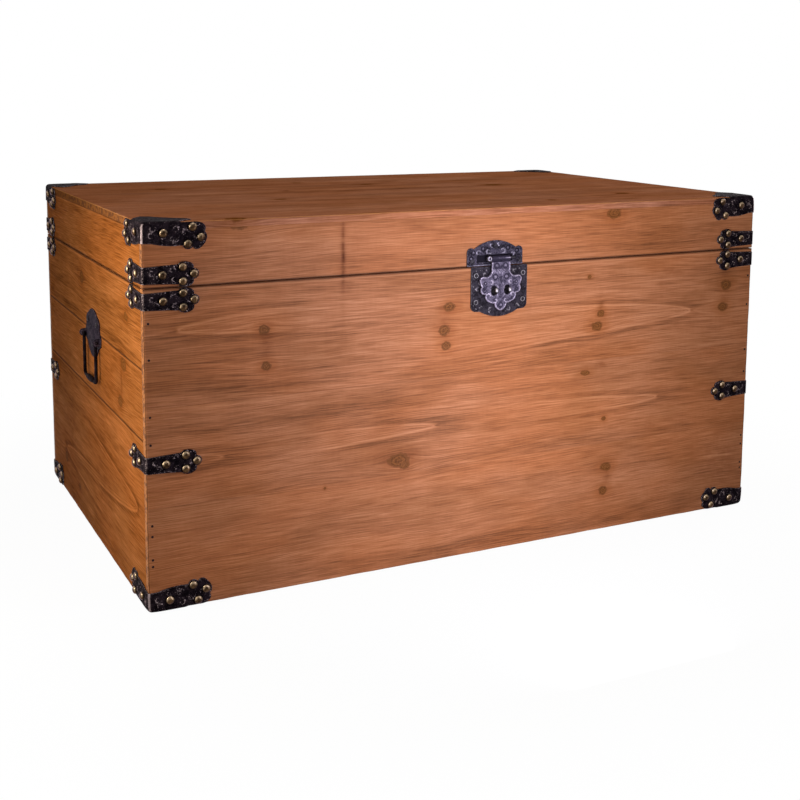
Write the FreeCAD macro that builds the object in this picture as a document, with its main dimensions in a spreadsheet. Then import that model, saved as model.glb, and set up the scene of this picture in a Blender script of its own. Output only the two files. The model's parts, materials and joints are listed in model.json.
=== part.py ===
import FreeCAD, Part
import Sketcher
import math
import os

# A pine sea chest with a lift-up lid, iron corner brackets and straps, dome nails, a hasp and two
# drop handles. Millimetres, +Z up, -Y the front, +X to the right seen from the front. The origin is
# on the floor under the middle of the whole chest's bounding box.

V = FreeCAD.Vector
UP = V(0, 0, 1)

DRIVING = {
    # wooden box
    "chest_width": 760.0,
    "chest_depth": 488.0,
    "base_height": 325.6,
    "seam_gap": 0.8,
    "rail_height": 56.0,
    "top_thickness": 7.6,
    "wall": 9.5,
    "front_joint_low": 106.0,
    "front_joint_high": 207.0,
    "side_joint_low": 173.0,
    "side_joint_high": 245.0,
    "top_joint": 82.0,
    "top_corner_radius": 4.0,
    "top_edge_radius": 2.0,
    "groove_depth": 3.5,
    "panel_thickness": 6.0,
    "panel_rise": 8.0,
    "depth_shift": -0.4,
    # iron fittings
    "iron": 1.2,
    "strap_reach": 55.9,
    "lid_strap_rise": 12.4,
    "base_strap_drop": 12.4,
    "middle_strap_height": 150.5,
    # dome nails, brads and screws
    "nail_shank_radius": 0.8,
    "nail_head_radius": 4.4,
    "nail_head_height": 3.0,
    "nail_bite": 5.4,
    "brad_radius": 0.7,
    "brad_head_radius": 1.0,
    "brad_length": 24.0,
    "screw_head_radius": 2.6,
    "screw_head_height": 1.5,
    "screw_radius": 1.1,
    "screw_bite": 7.0,
    # hasp
    "hasp_centre": 17.5,
    "upper_plate_centre": 11.5,
    "hasp_iron": 1.5,
    "plate_half_width": 35.0,
    "hasp_axis_rise": 7.9,
    "hasp_axis_stand": 3.2,
    "hasp_barrel_radius": 2.6,
    "hasp_pin_radius": 1.2,
    "tongue_iron": 1.8,
    "tongue_stand": 3.0,
    "tongue_half_width": 11.7,
    "eye_spacing": 16.8,
    "eye_stand": 7.6,
    "eye_radius": 4.0,
    "eye_hole_radius": 2.1,
    "eye_iron": 2.4,
    "eye_drop": 26.3,
    # handles
    "handle_offset": -24.0,
    "handle_height": 245.5,
    "handle_iron": 1.8,
    "handle_boss_height": 4.4,
    "handle_axis_drop": 7.5,
    "handle_axis_stand": 5.2,
    "bail_radius": 1.9,
    "bail_half_span": 29.0,
    "bail_drop": 47.0,
    "bail_bend_radius": 6.0,
    "bail_clearance": 0.05,
    "ear_radius": 4.2,
    "ear_width": 4.0,
    # hinges
    "hinge_offset": 235.0,
    "hinge_width": 60.0,
    "hinge_leaf_height": 24.0,
    "hinge_iron": 1.6,
    "hinge_barrel_radius": 3.4,
    "hinge_pin_radius": 1.6,
    "hinge_stand": 0.3,
    "hinge_knuckle_gap": 0.4,
    "hinge_clearance": 0.05,
    "stop_angle": 100.0,
    "stop_length": 8.5,
}

document = FreeCAD.newDocument("sea_chest")
sheet = document.addObject("Spreadsheet::Sheet", "Sizes")
for row, (alias, number) in enumerate(DRIVING.items(), start=1):
    sheet.set("A%d" % row, alias)
    sheet.set("B%d" % row, str(number))
    sheet.setAlias("B%d" % row, alias)
document.recompute()

sub_parts = []


def size(alias):
    """The driving dimension of that name, read from the sheet."""
    return float(getattr(sheet, alias))


def sized(expression):
    """The expression with each driving dimension's name turned into a reference to the sheet."""
    words = []
    for word in expression.replace("(", " ( ").replace(")", " ) ").split():
        sign = "-" if word.startswith("-") and word[1:] in DRIVING else ""
        name = word[len(sign):]
        words.append(sign + "Sizes." + name if name in DRIVING else word)
    return " ".join(words)


# ---------------------------------------------------------------- document helpers

def new_body(label):
    """A PartDesign body that becomes the node of that name."""
    body = document.addObject("PartDesign::Body", label)
    body.Label = label
    sub_parts.append(body)
    return body


def place(body, x="0", y="0", z="0", rotation=FreeCAD.Rotation()):
    """Turn the body, then bind its position to the sheet."""
    body.Placement = FreeCAD.Placement(V(0, 0, 0), rotation)
    for axis, expression in zip("xyz", (x, y, z)):
        body.setExpression("Placement.Base." + axis, sized(expression))


def sketch_on(body, role, name, offset=None):
    """A sketch on one of the body's own origin planes, lifted along the plane's normal."""
    sketch = body.newObject("Sketcher::SketchObject", body.Name + "_" + name)
    plane = [item for item in body.Origin.OriginFeatures if item.Role == role][0]
    sketch.AttachmentSupport = [(plane, "")]
    sketch.MapMode = "FlatFace"
    if offset is not None:
        sketch.setExpression("AttachmentOffset.Base.z", sized(offset))
    return sketch


def draw_rectangle(sketch, left, bottom, width, height):
    """A rectangle whose four sizes are constraints bound to the sheet."""
    corners = [V(1, 1, 0), V(21, 1, 0), V(21, 11, 0), V(1, 11, 0)]
    sides = [Part.LineSegment(corners[i], corners[(i + 1) % 4]) for i in range(4)]
    lines = sketch.addGeometry(sides, False)
    for i in range(4):
        sketch.addConstraint(Sketcher.Constraint("Coincident", lines[i], 2, lines[(i + 1) % 4], 1))
    for i, kind in enumerate(("Horizontal", "Vertical", "Horizontal", "Vertical")):
        sketch.addConstraint(Sketcher.Constraint(kind, lines[i]))
    origin = -1
    measures = (
        ("DistanceX", (origin, 1, lines[0], 1), left),
        ("DistanceY", (origin, 1, lines[0], 1), bottom),
        ("DistanceX", (lines[0], 1, lines[0], 2), width),
        ("DistanceY", (lines[1], 1, lines[1], 2), height),
    )
    for kind, ends, expression in measures:
        index = sketch.addConstraint(Sketcher.Constraint(kind, *ends, 1.0))
        sketch.setExpression("Constraints[%d]" % index, sized(expression))


def draw_outline(sketch, start, *steps):
    """A closed outline: each step is an end point, or a middle and an end point of an arc."""
    here = V(*start, 0)
    for step in list(steps) + [start]:
        if len(step) == 2 and not isinstance(step[0], tuple):
            end = V(*step, 0)
            if end.distanceToPoint(here) > 1e-6:
                sketch.addGeometry(Part.LineSegment(here, end), False)
        else:
            middle, end = (V(*point, 0) for point in step)
            sketch.addGeometry(Part.Arc(here, middle, end), False)
        here = end


def draw_circle(sketch, x, y, radius):
    """A full circle, as a hole in an outline or as a boss."""
    sketch.addGeometry(Part.Circle(V(x, y, 0), UP, radius), False)


def draw_oval(sketch, x, z, radius, half_straight):
    """An upright oval: two half circles joined by short straight sides."""
    draw_outline(sketch, (x + radius, z - half_straight), (x + radius, z + half_straight),
                 ((x, z + half_straight + radius), (x - radius, z + half_straight)),
                 (x - radius, z - half_straight),
                 ((x, z - half_straight - radius), (x + radius, z - half_straight)))


def pad(body, sketch, length, backwards=False):
    """Pad the sketch along its plane's normal, or against it."""
    document.recompute()
    feature = body.newObject("PartDesign::Pad", sketch.Name + "_pad")
    feature.Profile = sketch
    feature.setExpression("Length", sized(length))
    feature.Reversed = backwards
    document.recompute()
    return feature


def pocket(body, sketch, length, along_normal=False):
    """Cut the sketch out of the body, and stop if nothing was cut."""
    before = body.Shape.Volume
    feature = body.newObject("PartDesign::Pocket", sketch.Name + "_pocket")
    feature.Profile = sketch
    feature.setExpression("Length", sized(length))
    feature.Reversed = along_normal
    document.recompute()
    if body.Shape.Volume > before - 1e-3:
        raise RuntimeError(sketch.Name + " cuts nothing")
    return feature


def round_edges(body, radius, wanted):
    """Fillet the edges of the body's last feature for which wanted(edge) is true."""
    base = body.Tip
    names = ["Edge%d" % i for i, edge in enumerate(base.Shape.Edges, start=1) if wanted(edge)]
    feature = body.newObject("PartDesign::Fillet", body.Name + "_fillet")
    feature.Base = (base, names)
    feature.setExpression("Radius", sized(radius))
    document.recompute()


def straight_along(edge, axis):
    """True for a straight edge that runs along that axis."""
    if edge.Curve.TypeId != "Part::GeomLine":
        return False
    box = edge.BoundBox
    spans = {"x": box.XLength, "y": box.YLength, "z": box.ZLength}
    return all(span < 1e-6 for name, span in spans.items() if name != axis)


def add_group(label, solids):
    """One node that holds many separate solids of the same fastener."""
    group = document.addObject("Part::Feature", label)
    group.Label = label
    group.Shape = Part.makeCompound(solids)
    group.Placement = FreeCAD.Placement()
    sub_parts.append(group)
    return group


# ---------------------------------------------------------------- wooden box

def board_along_x(label, y, bottom, height, groove_side=None):
    """A wall board that runs the chest's whole width; y is the expression of its inner-most +Y face."""
    body = new_body(label)
    sketch = sketch_on(body, "XZ_Plane", "face")
    draw_rectangle(sketch, "0", "0", "chest_width", height)
    pad(body, sketch, "wall")
    if groove_side is not None:
        inner_offset = {"back": "0", "front": "wall"}[groove_side]
        groove = sketch_on(body, "XZ_Plane", "groove", inner_offset)
        draw_rectangle(groove, "wall - groove_depth", "panel_rise",
                       "chest_width - 2 * ( wall - groove_depth )", "panel_thickness")
        pocket(body, groove, "groove_depth", along_normal=groove_side == "back")
    place(body, "-chest_width / 2", y, bottom)
    return body


def board_along_y(label, x, bottom, height, groove_side=None):
    """A side board between front and back walls; x is the expression of its left face."""
    body = new_body(label)
    sketch = sketch_on(body, "YZ_Plane", "face")
    draw_rectangle(sketch, "0", "0", "chest_depth - 2 * wall", height)
    pad(body, sketch, "wall")
    if groove_side is not None:
        inner_offset = {"left": "0", "right": "wall"}[groove_side]
        groove = sketch_on(body, "YZ_Plane", "groove", inner_offset)
        draw_rectangle(groove, "0", "panel_rise", "chest_depth - 2 * wall", "panel_thickness")
        pocket(body, groove, "groove_depth", along_normal=groove_side == "left")
    place(body, x, "-chest_depth / 2 + wall + depth_shift", bottom)
    return body


def make_base_walls():
    """Three edge-glued boards in each wall, and the panel in the lowest boards' grooves."""
    courses_x = (
        ("lower", "iron", "front_joint_low"),
        ("middle", "iron + front_joint_low", "front_joint_high - front_joint_low"),
        ("upper", "iron + front_joint_high", "base_height - front_joint_high"),
    )
    courses_y = (
        ("lower", "iron", "side_joint_low"),
        ("middle", "iron + side_joint_low", "side_joint_high - side_joint_low"),
        ("upper", "iron + side_joint_high", "base_height - side_joint_high"),
    )
    for course, bottom, height in courses_x:
        lowest = course == "lower"
        board_along_x("front_board_" + course, "-chest_depth / 2 + wall + depth_shift", bottom, height,
                      "back" if lowest else None)
        board_along_x("back_board_" + course, "chest_depth / 2 + depth_shift", bottom, height,
                      "front" if lowest else None)
    for course, bottom, height in courses_y:
        lowest = course == "lower"
        board_along_y("left_board_" + course, "-chest_width / 2", bottom, height,
                      "right" if lowest else None)
        board_along_y("right_board_" + course, "chest_width / 2 - wall", bottom, height,
                      "left" if lowest else None)
    panel = new_body("bottom_panel")
    sketch = sketch_on(panel, "XY_Plane", "sheet")
    draw_rectangle(sketch, "0", "0", "chest_width - 2 * ( wall - groove_depth )",
                   "chest_depth - 2 * ( wall - groove_depth )")
    pad(panel, sketch, "panel_thickness")
    place(panel, "-chest_width / 2 + wall - groove_depth",
          "-chest_depth / 2 + wall - groove_depth + depth_shift", "iron + panel_rise")


def make_lid_boards():
    """Four rails with a top of three edge-glued boards laid over them."""
    seam = "iron + base_height + seam_gap"
    board_along_x("lid_front_rail", "-chest_depth / 2 + wall + depth_shift", seam, "rail_height")
    board_along_x("lid_back_rail", "chest_depth / 2 + depth_shift", seam, "rail_height")
    board_along_y("lid_left_rail", "-chest_width / 2", seam, "rail_height")
    board_along_y("lid_right_rail", "chest_width / 2 - wall", seam, "rail_height")
    outer_board = "chest_depth / 2 - top_joint"
    boards = (
        ("front", "-chest_depth / 2 + depth_shift", outer_board, 0.0),
        ("middle", "-top_joint + depth_shift", "2 * top_joint", None),
        ("back", "top_joint + depth_shift", outer_board, size("chest_depth") / 2 - size("top_joint")),
    )
    for name, start, breadth, outer_edge in boards:
        body = new_body("lid_top_board_" + name)
        sketch = sketch_on(body, "XY_Plane", "plan")
        draw_rectangle(sketch, "0", "0", "chest_width", breadth)
        pad(body, sketch, "top_thickness")
        if outer_edge is not None:
            round_edges(body, "top_corner_radius", lambda edge: straight_along(edge, "z")
                        and abs(edge.CenterOfMass.y - outer_edge) < 0.01)
            round_edges(body, "top_edge_radius", lambda edge: straight_along(edge, "x")
                        and abs(edge.CenterOfMass.y - outer_edge) < 0.01
                        and edge.CenterOfMass.z > size("top_thickness") / 2)
        place(body, "-chest_width / 2", start, seam + " + rail_height")


# ---------------------------------------------------------------- brackets and straps
# Both are made in the frame of one wooden corner: the wood is at +x, +y and, for a bracket, +z.
# One leaf lies on the plane y = 0 and the other, its mirror image, on x = 0.

HOLE_CLEARANCE = 0.1
STRAP_NAILS = ((19.6, 0.0), (39.7, -7.0), (39.7, 7.0), (50.9, 0.0))
BRACKET_NAILS = ((21.0, 10.4), (45.2, 21.8), (50.2, 5.4), (58.4, 15.8))
CORNERS = {"front_left": (-1, -1, 0), "front_right": (1, -1, 90),
           "back_right": (1, 1, 180), "back_left": (-1, 1, 270)}


def strap_outline(sketch):
    """The leaf's outline: it widens from the corner and ends in five lobes."""
    edge, reach = -size("iron"), size("strap_reach")
    draw_outline(sketch, (edge, -8.0), (30.0, -9.2), (35.4, -9.2),
                 ((39.2, -11.9), (43.2, -10.0)), ((48.2, -10.6), (50.2, -4.9)), ((reach, 0.0), (50.2, 4.9)),
                 ((48.2, 10.6), (43.2, 10.0)), ((39.2, 11.9), (35.4, 9.2)), (30.0, 9.2), (edge, 8.0))


def bracket_outline(sketch):
    """The leaf's outline: folded along its first third, then five uneven lobes."""
    edge = -size("iron")
    draw_outline(sketch, (edge, edge), (36.0, edge), (36.6, 0.2), (50.0, 0.2),
                 ((53.6, 1.1), (54.9, 3.6)), ((61.0, 2.9), (62.0, 10.2)), ((64.5, 15.8), (59.4, 21.7)),
                 ((56.2, 26.9), (50.2, 24.2)), ((45.4, 27.0), (40.4, 22.8)),
                 ((30.0, 23.2), (20.0, 21.6)), (9.0, 20.0), (edge, 19.8))


def cap_outline(sketch):
    """The third leaf, a gusset under or over the corner, cut off square to the diagonal."""
    edge = -size("iron")
    draw_outline(sketch, (edge, edge), (36.0, edge), (36.0, 0.0), (52.0, 12.0), (48.0, 20.0),
                 ((31.0, 31.0), (20.0, 48.0)), (12.0, 52.0), (0.0, 36.0), (edge, 36.0))


def make_leaf(body, role, outline, nails, backwards):
    """One leaf with its nail holes, padded away from the wood."""
    sketch = sketch_on(body, role, "leaf_" + role[:2].lower())
    outline(sketch)
    for x, z in nails:
        draw_circle(sketch, x, z, size("nail_shank_radius") + HOLE_CLEARANCE)
    pad(body, sketch, "iron", backwards)


def corner_rotation(turn, upside_down):
    """The turn that takes the wooden corner's frame to its place on the chest."""
    rotation = FreeCAD.Rotation(UP, turn)
    if upside_down:
        rotation = rotation.multiply(FreeCAD.Rotation(V(1, 1, 0), 180))
    return rotation


def corner_position(side, face):
    """Expressions of the wooden corner's x and y."""
    x = "chest_width / 2" if side > 0 else "-chest_width / 2"
    y = "chest_depth / 2 + depth_shift" if face > 0 else "-chest_depth / 2 + depth_shift"
    return x, y


def make_iron(label, corner, height, outline, nails, capped, upside_down=False):
    """A strap or a bracket on the named vertical edge of the chest."""
    side, face, turn = CORNERS[corner]
    body = new_body(label)
    make_leaf(body, "XZ_Plane", outline, nails, False)
    make_leaf(body, "YZ_Plane", outline, nails, True)
    if capped:
        cap = sketch_on(body, "XY_Plane", "cap")
        cap_outline(cap)
        pad(body, cap, "iron", True)
    x, y = corner_position(side, face)
    place(body, x, y, height, corner_rotation(turn, upside_down))


def iron_levels():
    """Every level of fittings: name, part of the chest, height, outline, nails, cap, upside down."""
    seam = "iron + base_height"
    lid_strap = seam + " + seam_gap + lid_strap_rise"
    top = seam + " + seam_gap + rail_height + top_thickness"
    strap = (strap_outline, STRAP_NAILS, False, False)
    return (
        ("base_corner_bracket", "base", "iron", bracket_outline, BRACKET_NAILS, True, False),
        ("base_middle_strap", "base", "iron + middle_strap_height") + strap,
        ("base_upper_strap", "base", seam + " - base_strap_drop") + strap,
        ("lid_strap", "lid", lid_strap) + strap,
        ("lid_corner_bracket", "lid", top, bracket_outline, BRACKET_NAILS, True, True),
    )


def make_all_iron():
    """Eight brackets and twelve straps."""
    for name, _, height, outline, nails, capped, upside_down in iron_levels():
        for corner in CORNERS:
            make_iron(name + "_" + corner, corner, height, outline, nails, capped, upside_down)


# ---------------------------------------------------------------- fasteners

def turned(profile):
    """A solid of revolution about Z from a profile of edges in the XZ plane."""
    face = Part.Face(Part.Wire(profile))
    return face.revolve(V(0, 0, 0), UP, 360)


def headed_pin(head, rise, shank, length, taper):
    """A pointed shank below z = 0 under a head that is the cap of a sphere."""
    radius = (head ** 2 + rise ** 2) / (2 * rise)
    half_angle = math.asin(head / radius) / 2
    middle = V(radius * math.sin(half_angle), 0, rise - radius + radius * math.cos(half_angle))
    crown = Part.Arc(V(0, 0, rise), middle, V(head, 0, 0)).toShape()
    lines = Part.makePolygon([V(head, 0, 0), V(shank, 0, 0), V(shank, 0, taper - length),
                              V(0, 0, -length), V(0, 0, rise)]).Edges
    return turned(lines + [crown])


def dome_nail():
    """A nail with a domed head on z = 0 and its shank below."""
    return headed_pin(size("nail_head_radius"), size("nail_head_height"), size("nail_shank_radius"),
                      size("nail_bite") + size("iron"), 1.5)


def brad():
    """A small finishing nail, its head flush at z = 0."""
    head, shank, length = size("brad_head_radius"), size("brad_radius"), size("brad_length")
    return turned(Part.makePolygon([V(0, 0, 0), V(head, 0, 0), V(head, 0, -0.6), V(shank, 0, -1.2),
                                    V(shank, 0, -length + 2), V(0, 0, -length), V(0, 0, 0)]).Edges)


def wood_screw(plate):
    """A round-head screw whose head sits on z = 0, with a slot across it."""
    head, rise = size("screw_head_radius"), size("screw_head_height")
    screw = headed_pin(head, rise, size("screw_radius"), size("screw_bite") + plate, 3.0)
    slot = Part.makeBox(2 * head, 0.6, rise, V(-head, -0.3, rise * 0.45))
    return screw.cut(slot)


def set_in(solid, position, outward):
    """A copy of the fastener with its head's base at the position, facing outward."""
    placed = solid.copy()
    placed.Placement = FreeCAD.Placement(position, FreeCAD.Rotation(UP, outward))
    return placed


def make_dome_nails():
    """Four nails in each leaf, grouped by the part of the chest that carries them."""
    document.recompute()
    nail = dome_nail()
    groups = {"base": [], "lid": []}
    irons = {item.Label: item for item in sub_parts}
    stand = -size("iron")
    for name, part, _, _, nails, _, _ in iron_levels():
        for corner in CORNERS:
            frame = irons[name + "_" + corner].Placement
            for along, across in nails:
                for position, outward in ((V(along, stand, across), V(0, -1, 0)),
                                          (V(stand, along, across), V(-1, 0, 0))):
                    direction = frame.Rotation.multVec(outward)
                    groups[part].append(set_in(nail, frame.multVec(position), direction))
    add_group("base_dome_nails", groups["base"])
    add_group("lid_dome_nails", groups["lid"])


def make_brads():
    """Brads through the front and back walls into the ends of the side boards."""
    heights = (47.0, 54.0, 78.0, 89.0, 171.0, 199.0, 256.0, 292.0)
    x = size("chest_width") / 2 - size("wall") / 2
    y = size("chest_depth") / 2
    solids = []
    for height in heights:
        for side in (-1, 1):
            for face in (-1, 1):
                position = V(side * x, face * y + size("depth_shift"), size("iron") + height)
                solids.append(set_in(brad(), position, V(0, face, 0)))
    add_group("wall_brads", solids)


# ---------------------------------------------------------------- hasp

UPPER_PLATE_SCREWS = ((0.0, 21.4), (-29.0, 5.0), (31.8, 4.6))
LOWER_PLATE_SCREWS = ((-30.0, -8.9), (30.0, -8.9), (-30.0, -38.6), (30.0, -38.6))
SEAM_MARGIN = 0.3


def make_upper_plate():
    """The plate on the lid: an arched top, a slot, and two ears that hold the pin."""
    body = new_body("hasp_upper_plate")
    half = size("plate_half_width")
    sketch = sketch_on(body, "XZ_Plane", "plate")
    draw_outline(sketch, (-half, 0.0), (half, 0.0), (half, 15.0), ((half - 1.6, 18.6), (half - 5.0, 19.8)),
                 (26.4, 18.6), ((0.0, 27.2), (-26.4, 18.6)), (5.0 - half, 19.8),
                 ((1.6 - half, 18.6), (-half, 15.0)))
    for x, z in UPPER_PLATE_SCREWS:
        draw_circle(sketch, x, z, size("screw_radius") + HOLE_CLEARANCE)
    pad(body, sketch, "hasp_iron")
    rise = size("hasp_axis_rise")
    slot = sketch_on(body, "XZ_Plane", "slot", "hasp_iron")
    draw_outline(slot, (-23.5, rise - 4.4), (22.6, rise - 4.4), (22.6, rise + 4.2), (-23.5, rise + 4.2))
    pocket(body, slot, "hasp_iron")
    # the ears are rings on the pin's axis, each with a web down to the plate beside the slot
    for name, start in (("left", -17.6), ("right", 18.6)):
        shift = size("hasp_centre") - size("upper_plate_centre")
        ear = sketch_on(body, "YZ_Plane", "ear_" + name, str(start + shift))
        radius, stand = size("hasp_barrel_radius"), size("hasp_axis_stand")
        draw_outline(ear, (0.0, rise + 4.2 + 1.6), (0.0, rise + 4.2 - 0.8), (-0.6, rise),
                     ((-stand, rise - radius), (-stand - radius, rise)), (-stand - radius + 0.3, rise + 1.2),
                     (-1.5, rise + 4.2 + 1.6))
        draw_circle(ear, -stand, rise, size("hasp_pin_radius"))
        pad(body, ear, "4.4")
    place(body, "upper_plate_centre", "-chest_depth / 2 + depth_shift",
          "iron + base_height + seam_gap + %s" % SEAM_MARGIN)


def make_lower_plate():
    """The plate on the base, square at the seam and arched below."""
    body = new_body("hasp_lower_plate")
    half = size("plate_half_width") + 0.5
    sketch = sketch_on(body, "XZ_Plane", "plate")
    draw_outline(sketch, (-half, -0.6), (-half + 0.6, 0.0), (half - 0.6, 0.0), (half, -0.6),
                 (half, -43.0), ((half - 1.8, -47.3), (half - 6.2, -49.0)), (24.0, -49.2),
                 ((0.0, -55.8), (-24.0, -49.2)), (6.2 - half, -49.0),
                 ((1.8 - half, -47.3), (-half, -43.0)))
    for x, z in LOWER_PLATE_SCREWS:
        draw_circle(sketch, x, z, size("screw_radius") + HOLE_CLEARANCE)
    pad(body, sketch, "hasp_iron")
    place(body, "hasp_centre", "-chest_depth / 2 + depth_shift",
          "iron + base_height - %s" % SEAM_MARGIN)


def tongue_outline(sketch):
    """A neck, then a scalloped shield that ends in a small drop."""
    neck = size("tongue_half_width")
    draw_outline(sketch, (-neck, 0.0), (neck, 0.0), (neck, -13.0),
                 ((13.6, -18.2), (20.4, -20.0)), ((25.6, -21.4), (26.0, -26.6)), (24.2, -31.0),
                 ((25.4, -35.2), (21.8, -39.2)), (19.6, -39.6), ((18.6, -44.8), (13.4, -48.6)),
                 ((10.4, -49.8), (7.4, -50.0)), ((5.4, -55.2), (0.0, -58.2)),
                 ((-5.4, -55.2), (-7.4, -50.0)), ((-10.4, -49.8), (-13.4, -48.6)),
                 ((-18.6, -44.8), (-19.6, -39.6)), (-21.8, -39.2), ((-25.4, -35.2), (-24.2, -31.0)),
                 (-26.0, -26.6), ((-25.6, -21.4), (-20.4, -20.0)), ((-13.6, -18.2), (-neck, -13.0)))


def make_tongue():
    """The hinged tongue: a barrel on the pin and the shield with two oval holes for the eyes."""
    body = new_body("hasp_tongue")
    plate = sketch_on(body, "XZ_Plane", "shield", "tongue_stand - hasp_axis_stand")
    tongue_outline(plate)
    for x in (-size("eye_spacing") / 2, size("eye_spacing") / 2):
        draw_oval(plate, x, -35.6, 4.3, 1.5)
    pad(body, plate, "tongue_iron")
    barrel = sketch_on(body, "YZ_Plane", "barrel", "-tongue_half_width")
    draw_circle(barrel, 0.0, 0.0, size("hasp_barrel_radius"))
    pad(body, barrel, "2 * tongue_half_width")
    bore = sketch_on(body, "YZ_Plane", "bore", "-tongue_half_width - 1")
    draw_circle(bore, 0.0, 0.0, size("hasp_pin_radius") + size("hinge_clearance"))
    pocket(body, bore, "2 * tongue_half_width + 2", along_normal=True)
    place(body, "hasp_centre", "-chest_depth / 2 - hasp_axis_stand + depth_shift", hasp_axis_height())


def hasp_axis_height():
    """Expression of the hasp pin's height above the floor."""
    return "iron + base_height + seam_gap + %s + hasp_axis_rise" % SEAM_MARGIN


def make_hasp_pin():
    """The pin through both ears and the tongue's barrel."""
    body = new_body("hasp_pin")
    sketch = sketch_on(body, "YZ_Plane", "wire", "-17.6")
    draw_circle(sketch, 0.0, 0.0, size("hasp_pin_radius"))
    pad(body, sketch, "40.6")
    place(body, "hasp_centre", "-chest_depth / 2 - hasp_axis_stand + depth_shift", hasp_axis_height())


def padlock_eye():
    """One eye: a foot that narrows into a ring, its hole along X."""
    radius, stand, iron = size("eye_radius"), size("eye_stand"), size("eye_iron")
    ring = Part.makeCylinder(radius, iron, V(-iron / 2, -stand, 0), V(1, 0, 0))
    foot = Part.makeBox(iron, stand - size("hasp_iron"), 1.4 * radius, V(-iron / 2, -stand, -0.7 * radius))
    hole = Part.makeCylinder(size("eye_hole_radius"), iron + 2, V(-iron / 2 - 1, -stand, 0), V(1, 0, 0))
    return ring.fuse(foot).cut(hole).removeSplitter()


def make_padlock_eyes():
    """Two eyes on the lower plate, side by side."""
    solids = []
    for side in (-1, 1):
        eye = padlock_eye()
        eye.Placement = FreeCAD.Placement(
            V(size("hasp_centre") + side * size("eye_spacing") / 2,
              -size("chest_depth") / 2 + size("depth_shift"),
              size("iron") + size("base_height") - SEAM_MARGIN - size("eye_drop")), FreeCAD.Rotation())
        solids.append(eye)
    add_group("padlock_eyes", solids)


# ---------------------------------------------------------------- side handles

HANDLE_SCREWS = ((-22.0, 10.0), (22.0, 10.0), (0.0, -15.5))
GRIP_HALF_LENGTH = 15.0
HANDLE_TURNS = {"left": (-1, -90), "right": (1, 90)}


def make_handle_plate(side_name):
    """A cast plate with a domed middle and an ear at each side for the bail."""
    side, turn = HANDLE_TURNS[side_name]
    body = new_body(side_name + "_handle_plate")
    plate = sketch_on(body, "XZ_Plane", "plate")
    draw_outline(plate, (0.0, -29.5), ((12.0, -27.6), (24.0, -17.0)), (36.4, -12.5), (37.0, -3.0),
                 ((31.6, 2.0), (31.0, 11.0)), ((27.0, 15.6), (20.0, 17.6)), ((10.8, 22.6), (0.0, 24.0)),
                 ((-10.8, 22.6), (-20.0, 17.6)), ((-27.0, 15.6), (-31.0, 11.0)),
                 ((-31.6, 2.0), (-37.0, -3.0)), (-36.4, -12.5), (-24.0, -17.0),
                 ((-12.0, -27.6), (0.0, -29.5)))
    for x, z in HANDLE_SCREWS:
        draw_circle(plate, x, z, size("screw_radius") + HOLE_CLEARANCE)
    pad(body, plate, "handle_iron")
    boss = sketch_on(body, "XZ_Plane", "boss")
    draw_outline(boss, (-15.0, -9.0), (15.0, -9.0), ((19.5, 2.0), (15.0, 12.0)),
                 ((0.0, 18.6), (-15.0, 12.0)), ((-19.5, 2.0), (-15.0, -9.0)))
    pad(body, boss, "handle_boss_height")
    drop, stand, radius = -size("handle_axis_drop"), size("handle_axis_stand"), size("ear_radius")
    span = size("bail_half_span") + size("bail_radius") + 0.5
    for name, start in (("low", -span - size("ear_width")), ("high", span)):
        ear = sketch_on(body, "YZ_Plane", "ear_" + name, str(start))
        draw_outline(ear, (0.0, drop - radius), (-stand, drop - radius),
                     ((-stand - radius, drop), (-stand, drop + radius)), (0.0, drop + radius))
        draw_circle(ear, -stand, drop, size("bail_radius") + size("bail_clearance"))
        pad(body, ear, "ear_width")
    x = "chest_width / 2" if side > 0 else "-chest_width / 2"
    place(body, x, "handle_offset + depth_shift", "iron + handle_height", FreeCAD.Rotation(UP, turn))


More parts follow.
